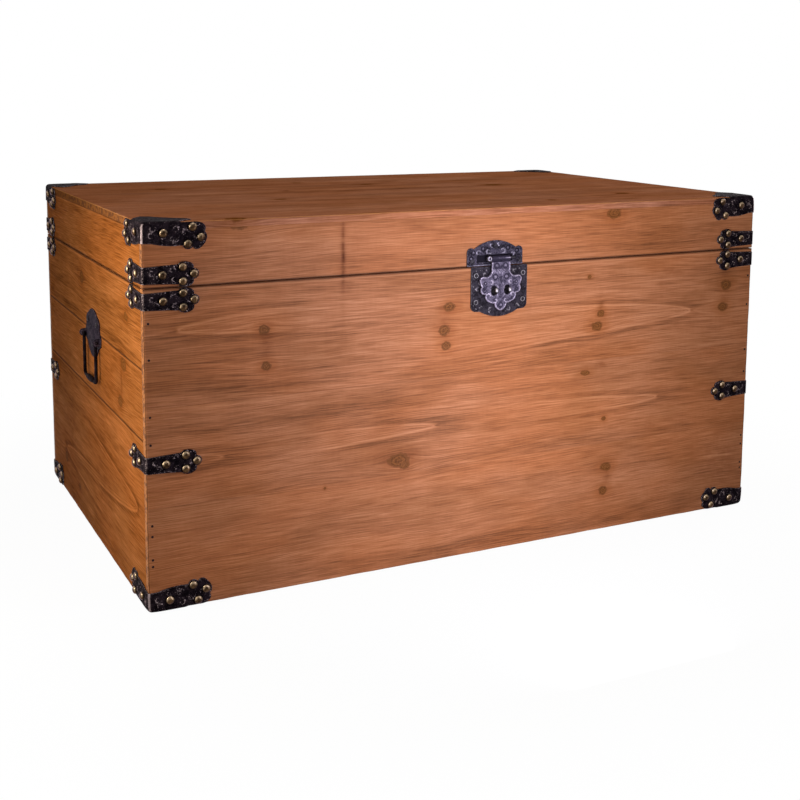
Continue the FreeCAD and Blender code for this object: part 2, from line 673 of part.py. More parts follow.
def make_bail(side_name):
    """The drop bail: a round bar bent in a U, its ends turned outwards through the ears."""
    side, turn = HANDLE_TURNS[side_name]
    body = new_body(side_name + "_bail")
    path = sketch_on(body, "XZ_Plane", "path")
    span, drop, bend = size("bail_half_span"), size("bail_drop"), size("bail_bend_radius")
    end = span + size("bail_radius") + 0.5 + size("ear_width") + 1.0
    small, lean = 2.6, math.sqrt(0.5)
    points = [V(end, 0, 0), V(span + small, 0, 0), V(span, -small, 0), V(span, -drop + bend, 0),
              V(span - bend, -drop, 0), V(-span + bend, -drop, 0), V(-span, -drop + bend, 0),
              V(-span, -small, 0), V(-span - small, 0, 0), V(-end, 0, 0)]
    inner = bend * (1 - lean)
    middles = {1: V(span + small * (1 - lean), -small * (1 - lean), 0), 3: V(span - inner, -drop + inner, 0),
               5: V(-span + inner, -drop + inner, 0),
               7: V(-span - small * (1 - lean), -small * (1 - lean), 0)}
    for i in range(len(points) - 1):
        if i in middles:
            path.addGeometry(Part.Arc(points[i], middles[i], points[i + 1]), False)
        else:
            path.addGeometry(Part.LineSegment(points[i], points[i + 1]), False)
    section = sketch_on(body, "YZ_Plane", "section", str(end))
    draw_circle(section, 0.0, 0.0, size("bail_radius"))
    document.recompute()
    pipe = body.newObject("PartDesign::AdditivePipe", side_name + "_bail_pipe")
    pipe.Profile = section
    pipe.Spine = (path, [])
    document.recompute()
    grip = sketch_on(body, "XZ_Plane", "grip")
    grip.setExpression("AttachmentOffset.Base.y", "-Sizes.bail_drop")
    draw_outline(grip, (-GRIP_HALF_LENGTH, 0.0), (GRIP_HALF_LENGTH, 0.0), (GRIP_HALF_LENGTH, 1.5),
                 ((0.0, 3.2), (-GRIP_HALF_LENGTH, 1.5)))
    document.recompute()
    swelling = body.newObject("PartDesign::Revolution", side_name + "_bail_grip")
    swelling.Profile = grip
    swelling.ReferenceAxis = (grip, ["H_Axis"])
    swelling.Angle = 360
    document.recompute()
    x = "chest_width / 2 + handle_axis_stand" if side > 0 else "-chest_width / 2 - handle_axis_stand"
    place(body, x, "handle_offset + depth_shift", "iron + handle_height - handle_axis_drop",
          FreeCAD.Rotation(UP, turn))


# ---------------------------------------------------------------- back hinges

HINGE_SCREW_PLACES = ((-22.0, 17.0), (0.0, 12.0), (22.0, 17.0))
HINGE_SIDES = {"left": -1, "right": 1}


def knuckle_spans():
    """Start and length of the three knuckles along the hinge: left, middle and right."""
    third = size("hinge_width") / 3
    gap = size("hinge_knuckle_gap")
    start = -size("hinge_width") / 2
    return ((start, third), (start + third + gap, third - 2 * gap), (start + 2 * third, third))


def make_hinge_leaf(label, side, knuckles, upwards, bore_radius):
    """A leaf on the back of the chest with its knuckles; upwards for the lid's leaf."""
    body = new_body(label)
    stand, iron = size("hinge_stand"), size("hinge_iron")
    axis = stand + size("hinge_barrel_radius")
    sign = 1 if upwards else -1
    sketch = sketch_on(body, "XZ_Plane", "leaf", "%s" % (axis - iron))
    half, clear = size("hinge_width") / 2, (size("hinge_barrel_radius") + 0.6) * sign
    tall = size("hinge_leaf_height") * sign
    draw_outline(sketch, (-half, clear), (half, clear), (half, tall - 3.0 * sign),
                 ((half - 0.9, tall - 0.9 * sign), (half - 3.0, tall)), (3.0 - half, tall),
                 ((0.9 - half, tall - 0.9 * sign), (-half, tall - 3.0 * sign)))
    for x, z in HINGE_SCREW_PLACES:
        draw_circle(sketch, x, z * sign, size("screw_radius") + HOLE_CLEARANCE)
    pad(body, sketch, "hinge_iron")
    for number, (start, length) in enumerate(knuckles):
        web = sketch_on(body, "YZ_Plane", "web_%d" % number, str(start))
        draw_outline(web, (-axis, 0.0), (-axis + iron, 0.0), (-axis + iron, clear + 0.5 * sign),
                     (-axis, clear + 0.5 * sign))
        pad(body, web, str(length))
        ring = sketch_on(body, "YZ_Plane", "ring_%d" % number, str(start))
        draw_circle(ring, 0.0, 0.0, size("hinge_barrel_radius"))
        pad(body, ring, str(length))
        if upwards:
            fin = sketch_on(body, "YZ_Plane", "fin_%d" % number, str(start))
            draw_stop_fin(fin, axis, iron)
            pad(body, fin, str(length))
        bore = sketch_on(body, "YZ_Plane", "bore_%d" % number, str(start))
        draw_circle(bore, 0.0, 0.0, bore_radius)
        pocket(body, bore, str(length), along_normal=True)
    place(body, "%s * hinge_offset" % side,
          "chest_depth / 2 + depth_shift + hinge_stand + hinge_barrel_radius",
          "iron + base_height + seam_gap / 2")


def draw_stop_fin(sketch, axis, iron):
    """The fin that lands on the other leaf when the lid stands open at the stop angle."""
    turn = math.radians(size("stop_angle"))
    near = -axis + iron + 0.3
    length = size("stop_length")
    corners = []
    for y, z in ((near, -1.0), (near, -length), (near + 2.2, -length), (near + 2.2, -1.0)):
        corners.append((y * math.cos(turn) - z * math.sin(turn), y * math.sin(turn) + z * math.cos(turn)))
    draw_outline(sketch, *corners)


def make_hinges():
    """Two hinges, each of two leaves and a pin."""
    left_knuckle, middle_knuckle, right_knuckle = knuckle_spans()
    pin_radius = size("hinge_pin_radius")
    for name, side in HINGE_SIDES.items():
        make_hinge_leaf(name + "_hinge_base_leaf", side, (left_knuckle, right_knuckle), False, pin_radius)
        make_hinge_leaf(name + "_hinge_lid_leaf", side, (middle_knuckle,), True,
                        pin_radius + size("hinge_clearance"))
    pins = []
    back = size("chest_depth") / 2 + size("depth_shift")
    for side in HINGE_SIDES.values():
        start = V(side * size("hinge_offset") - size("hinge_width") / 2,
                  back + size("hinge_stand") + size("hinge_barrel_radius"),
                  size("iron") + size("base_height") + size("seam_gap") / 2)
        pins.append(Part.makeCylinder(pin_radius, size("hinge_width"), start, V(1, 0, 0)))
    add_group("hinge_pins", pins)


def make_screws():
    """Every screw of the base in one group and every screw of the lid in another."""
    base, lid = [], []
    front = -size("chest_depth") / 2 + size("depth_shift")
    back = size("chest_depth") / 2 + size("depth_shift")
    seam = size("iron") + size("base_height")
    hasp_screw = wood_screw(size("hasp_iron"))
    for x, z in LOWER_PLATE_SCREWS:
        position = V(size("hasp_centre") + x, front - size("hasp_iron"), seam - SEAM_MARGIN + z)
        base.append(set_in(hasp_screw, position, V(0, -1, 0)))
    for x, z in UPPER_PLATE_SCREWS:
        position = V(size("upper_plate_centre") + x, front - size("hasp_iron"),
                     seam + size("seam_gap") + SEAM_MARGIN + z)
        lid.append(set_in(hasp_screw, position, V(0, -1, 0)))
    handle_screw = wood_screw(size("handle_iron"))
    for side, turn in HANDLE_TURNS.values():
        centre = V(side * size("chest_width") / 2, size("handle_offset") + size("depth_shift"),
                   size("iron") + size("handle_height"))
        frame = FreeCAD.Placement(centre, FreeCAD.Rotation(UP, turn))
        for x, z in HANDLE_SCREWS:
            position = frame.multVec(V(x, -size("handle_iron"), z))
            base.append(set_in(handle_screw, position, V(side, 0, 0)))
    hinge_screw = wood_screw(size("hinge_iron"))
    axis = seam + size("seam_gap") / 2
    for side in HINGE_SIDES.values():
        for x, z in HINGE_SCREW_PLACES:
            for group, sign in ((base, -1), (lid, 1)):
                position = V(side * size("hinge_offset") + x, back + size("hinge_iron"), axis + sign * z)
                group.append(set_in(hinge_screw, position, V(0, 1, 0)))
    add_group("base_screws", base)
    add_group("lid_screws", lid)


# ---------------------------------------------------------------- whole chest

def check_and_export():
    """Stop at any failed object, then write one STEP file for each sub-part."""
    document.recompute()
    for item in document.Objects:
        if "Invalid" in item.State or "Error" in item.State:
            raise RuntimeError("%s is %s" % (item.Name, item.State))
    os.makedirs("parts", exist_ok=True)
    for item in sub_parts:
        if item.Shape.isNull() or not item.Shape.isValid() or not item.Shape.Solids:
            raise RuntimeError(item.Label + " has no valid solid")
        if min(solid.Volume for solid in item.Shape.Solids) <= 0:
            raise RuntimeError(item.Label + " has a solid turned inside out")
        item.Shape.exportStep(os.path.join("parts", item.Label + ".step"))
    print("%d nodes written" % len(sub_parts))


def main():
    """Build every sub-part in the order of assembly."""
    make_base_walls()
    make_lid_boards()
    make_all_iron()
    make_dome_nails()
    make_brads()
    make_upper_plate()
    make_lower_plate()
    make_tongue()
    make_hasp_pin()
    make_padlock_eyes()
    for side_name in HANDLE_TURNS:
        make_handle_plate(side_name)
        make_bail(side_name)
    make_hinges()
    make_screws()
    check_and_export()


main()
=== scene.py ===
"""Looks of a knotty pine sea chest: boards, blackened iron fittings, dome nails, hasp and handles.

Lengths in the classes are millimetres, as a joiner writes them; meshes are built in metres, in the
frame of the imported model: +Z up, -Y the front, +X to the right seen from the front.
"""
import json
import logging
import math
from dataclasses import dataclass, field, replace
from enum import Enum
from typing import Callable, Optional, Sequence, Union

import bpy
import numpy as np
from mathutils import Matrix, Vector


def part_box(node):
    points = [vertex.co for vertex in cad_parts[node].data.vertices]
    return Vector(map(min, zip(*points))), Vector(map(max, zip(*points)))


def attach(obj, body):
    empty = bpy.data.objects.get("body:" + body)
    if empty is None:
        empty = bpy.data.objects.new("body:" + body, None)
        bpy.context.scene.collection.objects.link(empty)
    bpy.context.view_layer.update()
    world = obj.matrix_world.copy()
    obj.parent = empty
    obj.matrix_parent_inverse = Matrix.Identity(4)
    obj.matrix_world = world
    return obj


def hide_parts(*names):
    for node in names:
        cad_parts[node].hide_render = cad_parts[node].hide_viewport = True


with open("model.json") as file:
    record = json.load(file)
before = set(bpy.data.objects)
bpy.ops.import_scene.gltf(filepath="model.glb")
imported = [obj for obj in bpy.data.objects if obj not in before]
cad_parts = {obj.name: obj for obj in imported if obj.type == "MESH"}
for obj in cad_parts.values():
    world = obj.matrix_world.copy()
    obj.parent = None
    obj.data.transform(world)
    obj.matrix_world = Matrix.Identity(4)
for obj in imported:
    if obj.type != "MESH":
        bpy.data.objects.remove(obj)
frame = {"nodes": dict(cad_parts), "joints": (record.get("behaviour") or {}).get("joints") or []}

Array = np.ndarray
Material = bpy.types.Material
Colour = tuple[float, float, float]
Place = tuple[float, float, float]
Spot = tuple[float, float]
Coil = tuple[float, float, float, float, float]
Term = Union["Value", float]

MM = 0.001
RIGHT, BACK, UP = np.eye(3)
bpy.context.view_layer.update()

log = logging.getLogger("sea_chest")


# ------------------------------------------------------------------ shader expressions

class Value:
    """A shader socket that takes part in Python expressions."""

    def __init__(self, graph: "Graph", socket: bpy.types.NodeSocket) -> None:
        """Keep the graph and the socket."""
        self.graph = graph
        self.socket = socket

    def math(self, operation: str, *terms: Term) -> "Value":
        """This value and the terms, as its other operands, passed through a Math node."""
        return self.graph.read("ShaderNodeMath", {"operation": operation}, dict(enumerate((self, *terms))))

    def __add__(self, other: Term) -> "Value":
        """Sum."""
        return self.math("ADD", other)

    def __sub__(self, other: Term) -> "Value":
        """Difference."""
        return self.math("SUBTRACT", other)

    def __mul__(self, other: Term) -> "Value":
        """Product."""
        return self.math("MULTIPLY", other)

    def __truediv__(self, other: Term) -> "Value":
        """Quotient."""
        return self.math("DIVIDE", other)

    def __rsub__(self, other: Term) -> "Value":
        """Difference from a number."""
        return self.math("MULTIPLY_ADD", -1.0, other)

    __radd__ = __add__
    __rmul__ = __mul__

    def smooth(self, low: float, high: float) -> "Value":
        """Rise smoothly from 0 at low to 1 at high, or fall if low is above high.

        Args:
            low: where the result is 0.
            high: where the result is 1.

        Returns:
            The smooth step.
        """
        start, end, first, last = (low, high, 0.0, 1.0) if low < high else (high, low, 1.0, 0.0)
        return self.graph.read("ShaderNodeMapRange", {"interpolation_type": "SMOOTHSTEP"},
                               {0: self, 1: start, 2: end, 3: first, 4: last})

    def within(self, middle: float, half: float, soft: float) -> "Value":
        """A band's mask: 1 within half of the middle, fading to 0 over soft."""
        return (self - middle).math("ABSOLUTE").smooth(half + soft, half)


class Graph:
    """The node tree of one material, or of the world."""

    def __init__(self, owner: Union[Material, bpy.types.World]) -> None:
        """Take over the owner's node tree and empty it.

        Args:
            owner: the material or the world.
        """
        owner.use_nodes = True
        self.owner, self.tree = owner, owner.node_tree
        self.tree.nodes.clear()

    @classmethod
    def of_material(cls, name: str) -> "Graph":
        """The tree of a new material."""
        return cls(bpy.data.materials.new(name))

    def add(self, kind: str, settings: Optional[dict] = None,
            inputs: Optional[dict] = None) -> bpy.types.Node:
        """Add a node.

        Args:
            kind: the node's type.
            settings: its properties, or "stops" for a colour ramp's positions and colours.
            inputs: numbers, colours or values for its sockets, by name or number.

        Returns:
            The node.
        """
        node = self.tree.nodes.new(kind)
        for name, setting in (settings or {}).items():
            if name == "stops":
                self._fill_ramp(node.color_ramp, setting)
            else:
                setattr(node, name, setting)
        for key, term in (inputs or {}).items():
            if isinstance(term, Value):
                self.tree.links.new(term.socket, node.inputs[key])
            else:
                node.inputs[key].default_value = term
        return node

    def read(self, kind: str, settings: Optional[dict] = None, inputs: Optional[dict] = None,
             output: Union[int, str] = 0) -> Value:
        """Add a node, as add does, and take the output of that name or number."""
        return Value(self, self.add(kind, settings, inputs).outputs[output])

    @staticmethod
    def _fill_ramp(ramp: bpy.types.ColorRamp, stops: Sequence[tuple[float, Colour]]) -> None:
        """Give a colour ramp its stops.

        Args:
            ramp: the ramp of a new ColorRamp node, with its two stops.
            stops: position and colour of each stop, in order.
        """
        while len(ramp.elements) < len(stops):
            ramp.elements.new(0.5)
        for element, (position, colour) in zip(ramp.elements, stops):
            element.position = position
            element.color = (*colour, 1.0)

    def split(self, output: str) -> list[Value]:
        """X, Y and Z of one output of the Texture Coordinate node."""
        vector = self.read("ShaderNodeTexCoord", output=output)
        return [Value(self, out) for out in self.add("ShaderNodeSeparateXYZ", None, {0: vector}).outputs]

    def object_position(self) -> list[Value]:
        """X, Y and Z on the object, in millimetres."""
        return [part * (1.0 / MM) for part in self.split("Object")]

    def object_normal(self) -> list[Value]:
        """X, Y and Z of the surface's direction on the object."""
        return self.split("Normal")

    def attribute(self, name: str) -> Value:
        """The piece's own attribute of that name."""
        return self.read("ShaderNodeAttribute", {"attribute_name": name}, output="Fac")

    def combine(self, x: Term, y: Term, z: Term) -> Value:
        """A vector from three values."""
        return self.read("ShaderNodeCombineXYZ", None, {0: x, 1: y, 2: z})

    def noise(self, place: Value, scale: float = 1.0, detail: float = 2.0, roughness: float = 0.5,
              distortion: float = 0.0) -> Value:
        """Fractal noise.

        Args:
            place: where it is read.
            scale: how often it repeats per unit.
            detail: its number of octaves.
            roughness: how much each octave adds.
            distortion: how far it is warped.

        Returns:
            A value around 0.5.
        """
        return self.read("ShaderNodeTexNoise", None, {
            "Vector": place, "Scale": scale, "Detail": detail, "Roughness": roughness,
            "Distortion": distortion})

    def cells(self, place: Value, scale: float) -> Value:
        """Distance to the nearest of scattered points."""
        return self.read("ShaderNodeTexVoronoi", None, {"Vector": place, "Scale": scale})

    def ramp(self, factor: Value, stops: Sequence[tuple[float, Colour]]) -> Value:
        """A colour ramp read at the factor."""
        return self.read("ShaderNodeValToRGB", {"stops": stops}, {0: factor})

    def blend(self, factor: Term, under: Union[Value, Colour], over: Union[Value, Colour],
              mode: str = "MIX") -> Value:
        """Lay one colour over another.

        Args:
            factor: how much of the upper colour shows.
            under: the lower colour.
            over: the upper colour.
            mode: the Mix node's blend type.

        Returns:
            The mixed colour.
        """
        pair = [term if isinstance(term, Value) else (*term, 1.0) for term in (under, over)]
        return self.read("ShaderNodeMix", {"data_type": "RGBA", "blend_type": mode},
                         {0: factor, 6: pair[0], 7: pair[1]}, output=2)

    def bump(self, height: Value, depth: float) -> Value:
        """A normal from a height between 0 and 1 that stands for depth millimetres."""
        sockets = {"Height": height, "Distance": depth * MM, "Strength": 1.0}
        return self.read("ShaderNodeBump", None, sockets)

    def finish(self, **channels: Union[Value, float, Colour]) -> Material:
        """End a material's tree in a Principled shader.

        Args:
            channels: the shader's sockets, with an underscore for each space.

        Returns:
            The material.
        """
        sockets = {name.replace("_", " "): (*term, 1.0) if isinstance(term, tuple) else term
                   for name, term in channels.items()}
        shader = self.read("ShaderNodeBsdfPrincipled", None, sockets)
        self.add("ShaderNodeOutputMaterial", None, {0: shader})
        return self.owner


# ------------------------------------------------------------------ finishes

class Axis(Enum):
    """The axes of the model's frame."""

    X = 0
    Y = 1
    Z = 2


@dataclass(frozen=True)
class Mark:
    """Something that shows on a board, at a place along and across the grain."""

    along: float
    across: float

    def raised(self, base: float) -> "Mark":
        """The same mark with its place across the grain counted from zero, not from the base."""
        return replace(self, across=self.across + base)


@dataclass(frozen=True)
class Knot(Mark):
    """A branch's end in a board, with its radius and how much longer it is along the grain."""

    radius: float
    stretch: float


@dataclass(frozen=True)
class Flame(Mark):
    """Nested pointed curves behind a tip: how far they run back from it, and their opening."""

    length: float
    half_width: float


@dataclass(frozen=True)
class Streak(Mark):
    """A long darker band in the grain, with negative strength for a lighter one."""

    half_length: float
    half_height: float
    strength: float


@dataclass(frozen=True)
class Smear(Mark):
    """A soft mark on the wood that multiplies its colour by the tint."""

    half_along: float
    half_across: float
    strength: float
    tint: Colour = (0.60, 0.50, 0.38)


MARKS = {"knots": Knot, "flames": Flame, "streaks": Streak, "smears": Smear}


@dataclass(frozen=True)
class Joint:
    """The glue line between two boards, or the gap between lid and base darkened with painted shade, and
    how dark it shows.
    """

    across: float
    darkness: float = 0.5
    half_width: float = 0.55


@dataclass(frozen=True)
class GrainPlace:
    """A place on a board, from which noise is read that is stretched along the grain."""

    graph: Graph
    along: Value
    across: Value
    board: Term

    def noise(self, cells_along: float, cells_across: float, layer: float = 0.0, detail: float = 2.0,
              roughness: float = 0.5) -> Value:
        """One layer of noise, with its number of cells per millimetre along and across the grain."""
        place = self.graph.combine(self.along * cells_along, self.across * cells_across, self.board + layer)
        return self.graph.noise(place, detail=detail, roughness=roughness)

    def seeded(self, seed: float) -> "GrainPlace":
        """The same place with noise that is the same on every board."""
        return replace(self, board=seed)


@dataclass(frozen=True)
class Pine:
    """Stained, waxed knotty pine of one wall, drawn along and across the grain in millimetres."""

    name: str
    along: Axis
    across: Axis
    depth: Axis
    face: float
    seed: float
    joints: tuple[Joint, ...] = ()
    knots: tuple[Knot, ...] = ()
    flames: tuple[Flame, ...] = ()
    streaks: tuple[Streak, ...] = ()
    smears: tuple[Smear, ...] = ()
    dark: Colour = (0.190, 0.068, 0.024)
    middle: Colour = (0.440, 0.160, 0.060)
    light: Colour = (0.630, 0.270, 0.120)
    knot_heart: Colour = (0.105, 0.034, 0.006)
    knot_rim: Colour = (0.265, 0.088, 0.017)
    end_grain: Colour = (0.440, 0.165, 0.050)
    # Colour of the glue lines, and of the painted shade on the lid/base gap.
    glue_line_and_gap_shade: Colour = (0.050, 0.017, 0.007)
    level_arris_wear_and_highlight: Colour = (0.720, 0.310, 0.090)
    upright_arris: Colour = (0.060, 0.021, 0.008)
    patch_tint: Colour = (0.72, 0.68, 0.56)
    warm_tint: Colour = (1.0, 0.84, 0.60)
    halo_tint: Colour = (0.80, 0.70, 0.52)
    ring_pitch: float = 7.0
    gloss: float = 0.16

    def material(self) -> Material:
        """Build the wood's shader.

        The grain is noise stretched along the boards. Its lines bend round the knots, because the place
        across the grain is drawn towards each knot before the noise is read.

        Returns:
            The material.
        """
        graph = Graph.of_material(self.name)
        place = graph.object_position()
        along, across = place[self.along.value], place[self.across.value]
        depth = place[self.depth.value] - self.face
        board = self._board_number(across)
        straight = GrainPlace(graph, along, across + depth * 0.7, board)
        drift = straight.noise(0.0042, 0.011, detail=1.0)
        straight = replace(straight, across=straight.across + (drift - 0.5) * 11.0)
        parted, nearest = self._bend_round_knots(straight)

        tone = self._grain(parted)
        for flame in self.flames:
            tone = tone + self._flame(straight, flame)
        for streak in self.streaks:
            mask = parted.across.within(streak.across, streak.half_height * 0.3, streak.half_height)
            mask = mask * along.within(streak.along, streak.half_length * 0.4, streak.half_length)
            tone = tone - mask * streak.strength
        colour = graph.ramp(tone, ((0.0, self.dark), (0.5, self.middle), (1.0, self.light)))

        patches = straight.noise(0.011, 0.024, 4.0, detail=4.0)
        colour = graph.blend(patches.smooth(0.42, 0.66) * 0.50, colour, self.patch_tint, "MULTIPLY")
        warm = straight.noise(0.006, 0.012, 9.0)
        colour = graph.blend(warm.smooth(0.38, 0.62) * 0.50, colour, self.warm_tint, "MULTIPLY")
        for smear in self.smears:
            colour = self._smear_over(colour, straight, smear)
        colour = self._knots_over(colour, straight, nearest)
        colour = self._end_grain_over(graph, colour, place, tone)
        colour = self._joints_over(graph, colour, place[self.across.value])

        height = parted.noise(0.03, 1.9) * 0.5 + tone * 0.5 - nearest.smooth(1.2, 0.4) * 0.4
        rough = 0.66 - tone * 0.16 + patches * 0.10
        return graph.finish(Base_Color=colour, Roughness=rough, Normal=graph.bump(height, 0.12),
                            Specular_IOR_Level=self.gloss)

    def _joints_over(self, graph: Graph, colour: Value, across: Value) -> Value:
        """Draw the glue lines on the faces that look outwards, each with a pale lip below it that is a
        painted highlight; on the lid/base gap the dark line is painted shade.

        Args:
            graph: the material's graph.
            colour: the wood's colour.
            across: the place across the grain.

        Returns:
            The colour.
        """
        facing = graph.object_normal()[self.depth.value].math("ABSOLUTE").smooth(0.10, 0.45)
        for joint in self.joints:
            line = across.within(joint.across, joint.half_width * 0.2, joint.half_width)
            lip_highlight = across.within(joint.across - joint.half_width - 1.1, 0.35, 0.7)
            # Painted highlight: a pale band below each joint, where the edge catches light.
            colour = graph.blend(lip_highlight * facing * joint.darkness * 0.45, colour, self.light)
            # The dark line; on the lid/base gap it is painted shade.
            colour = graph.blend(line * facing * joint.darkness, colour, self.glue_line_and_gap_shade)
        return colour

    @staticmethod
    def _smear_over(colour: Value, place: GrainPlace, smear: Smear) -> Value:
        """Lay a soft dark mark over the grain: 1 / (1 + x x + z z)^3 of the distances in its half sizes.

        Args:
            colour: the grain's colour.
            place: the place on the board.
            smear: the mark's sizes.

        Returns:
            The colour.
        """
        ragged = place.seeded(smear.along).noise(0.09, 0.12, detail=3.0)
        x = (place.along - smear.along) * (1.0 / smear.half_along)
        z = (place.across - smear.across) * (1.0 / smear.half_across)
        mask = (x * x + z * z + 1.0).math("POWER", -3.0) * ragged.smooth(0.18, 0.62)
        return place.graph.blend(mask * smear.strength, colour, smear.tint, "MULTIPLY")

    def _board_number(self, across: Value) -> Value:
        """A number that differs from board to board.

        Args:
            across: the place across the grain.

        Returns:
            The seed plus a step for each joint below the place.
        """
        number = across * 0.0 + self.seed
        for step, joint in enumerate(self.joints, start=1):
            number = number + across.math("GREATER_THAN", joint.across) * (3.7 + 1.3 * step)
        return number

    def _bend_round_knots(self, place: GrainPlace) -> tuple[GrainPlace, Value]:
        """Draw the place across the grain towards each knot.

        With q the distance to a knot in its radii, the offset from it shrinks by the part
        0.75 / (1 + 0.22 q q)^2, so that the lines of the grain part round the knot.

        Args:
            place: the place on the board.

        Returns:
            The bent place, and the distance to the nearest knot in that knot's radii.
        """
        rough = place.seeded(2.0).noise(0.16, 0.16) - 0.5
        bent, nearest = place.across, place.along * 0.0 + 9.0
        for knot in self.knots:
            away = place.across - knot.across
            x = (place.along - knot.along) * (1.0 / (knot.radius * knot.stretch))
            z = away * (1.0 / knot.radius)
            fade = ((x * x * 0.30 + z * z) * 0.22 + 1.0).math("POWER", -2.0)
            bent = bent - away * fade * 0.75
            nearest = nearest.math("MINIMUM", (x * x + z * z).math("SQRT") + rough * 0.9)
        return replace(place, across=bent), nearest

    def _grain(self, place: GrainPlace) -> Value:
        """Year rings, streaks and fibres.

        The rings are a saw-tooth of the place across the grain plus broad noise, which turns level lines
        into long loops and pointed arches. Each tooth darkens slowly and ends in a sharp light edge.

        Args:
            place: the place on the board, bent round the knots.

        Returns:
            The tone, from 0, dark, to 1, light.
        """
        broad = place.noise(0.0028, 0.026)
        phase = (place.across * (1.0 / self.ring_pitch) + broad * 8.0 + place.board).math("FRACT")
        late = phase.math("POWER", 2.5) * phase.smooth(1.0, 0.86)
        layers = ((place.noise(0.0034, 0.036, 1.0, detail=3.0), 0.70),
                  (place.noise(0.0065, 0.15, 2.0), 0.34),
                  (place.noise(0.011, 0.75, 3.0, detail=4.0, roughness=0.7), 0.70),
                  (place.noise(0.030, 1.1, 5.0, detail=3.0).smooth(0.28, 0.72), 0.50),
                  (place.noise(0.30, 0.06), 0.12))
        tone = 0.56 - late * 0.16
        for layer, strength in layers:
            tone = tone + (layer - 0.5) * strength
        return tone

    @staticmethod
    def _flame(place: GrainPlace, flame: Flame) -> Value:
        """Lighter pointed arches behind the flame's tip.

        With z the offset from the middle line in half widths and u the distance behind the tip in
        lengths, f = z z - u is 0 on the outline, a parabola. f over the length of its gradient,
        sqrt((2 z / half_width)^2 + (1 / length)^2), is about the distance to the outline.

        Args:
            place: the place on the board.
            flame: its sizes.

        Returns:
            What the flame adds to the tone.
        """
        z = (place.across - flame.across) * (1.0 / flame.half_width)
        behind = (place.along - flame.along) * (-1.0 / flame.length)
        slope = (z * z * (4.0 / flame.half_width ** 2) + 1.0 / flame.length ** 2).math("SQRT")
        distance = (z * z - behind) / slope
        fade = behind.smooth(1.05, 0.35)
        edge = distance.within(0.0, 0.5, 1.7) * fade
        inside = distance.smooth(0.0, -4.0) * fade
        ripples = (distance * (math.tau / 6.4)).math("SINE")
        outside = distance.within(3.2, 0.8, 2.8) * fade
        return edge * 0.28 + inside * (ripples * 0.11 + 0.02) - outside * 0.24

    def _knots_over(self, colour: Value, place: GrainPlace, nearest: Value) -> Value:
        """Lay the knots over the grain, each with a halo, a rim and a ringed heart.

        Args:
            colour: the grain's colour.
            place: the place on the board.
            nearest: the distance to the nearest knot in its radii.

        Returns:
            The colour.
        """
        graph = place.graph
        halo = nearest.smooth(3.4, 0.9)
        colour = graph.blend(halo * 0.75, colour, self.halo_tint, "MULTIPLY")
        speck = place.seeded(5.0).noise(0.55, 0.55, detail=3.0)
        rings = ((nearest * 15.0).math("SINE") * 0.12 + speck).smooth(0.30, 0.72)
        heart = graph.blend(rings, self.knot_heart, self.knot_rim)
        disc = nearest.smooth(1.20, 0.80) * speck.smooth(0.05, 0.35)
        rim = nearest.within(0.98, 0.04, 0.26) * speck.smooth(0.25, 0.60)
        return graph.blend(rim * 0.50, graph.blend(disc * 0.88, colour, heart), self.knot_heart)

    def _end_grain_over(self, graph: Graph, colour: Value, place: list[Value], tone: Value) -> Value:
        """Lay end grain over the faces cut across the boards; level arrises are pale, with wear and a
        painted highlight, upright ones dark.

        Args:
            graph: the material's graph.
            colour: the colour of the long faces.
            place: the place on the object.
            tone: the grain's tone.

        Returns:
            The colour.
        """
        ways = [way.math("ABSOLUTE") for way in graph.object_normal()]
        cut = ways[self.along.value].smooth(0.70, 0.95)
        marks = graph.noise(graph.combine(place[0] * 0.1, place[1] * 0.12, place[2] * 0.20), detail=4.0)
        ends = graph.blend((tone * 0.3 + marks * 1.1).smooth(0.60, 0.76), self.dark, self.end_grain)
        colour = graph.blend(cut, colour, ends)
        arris = ways[0].math("MAXIMUM", ways[1]).math("MAXIMUM", ways[2]).smooth(0.94, 0.80)
        level = ways[2].smooth(0.10, 0.40)
        # Pale level arrises: wear, and a painted highlight where the edge catches light from above.
        colour = graph.blend(arris * level * 0.55, colour, self.level_arris_wear_and_highlight)
        return graph.blend(arris * (1.0 - level) * 0.85, colour, self.upright_arris)


@dataclass(frozen=True)
class Plywood:
    """Bare plywood of the chest's floor."""

    name: str = "floor_plywood"
    dark: Colour = (0.330, 0.190, 0.090)
    light: Colour = (0.560, 0.370, 0.200)

    def material(self) -> Material:
        """Build the shader: long soft figure with fine fibres.

        Returns:
            The material.
        """
        graph = Graph.of_material(self.name)
        x, y, z = graph.object_position()
        figure = graph.noise(graph.combine(x * 0.004, y * 0.03, z * 0.03), detail=3.0, distortion=0.6)
        fibres = graph.noise(graph.combine(x * 0.05, y * 1.1, z))
        tone = figure * 0.75 + fibres * 0.25
        colour = graph.ramp(tone, ((0.3, self.dark), (0.7, self.light)))
        return graph.finish(Base_Color=colour, Roughness=0.8 - tone * 0.2, Normal=graph.bump(fibres, 0.1))


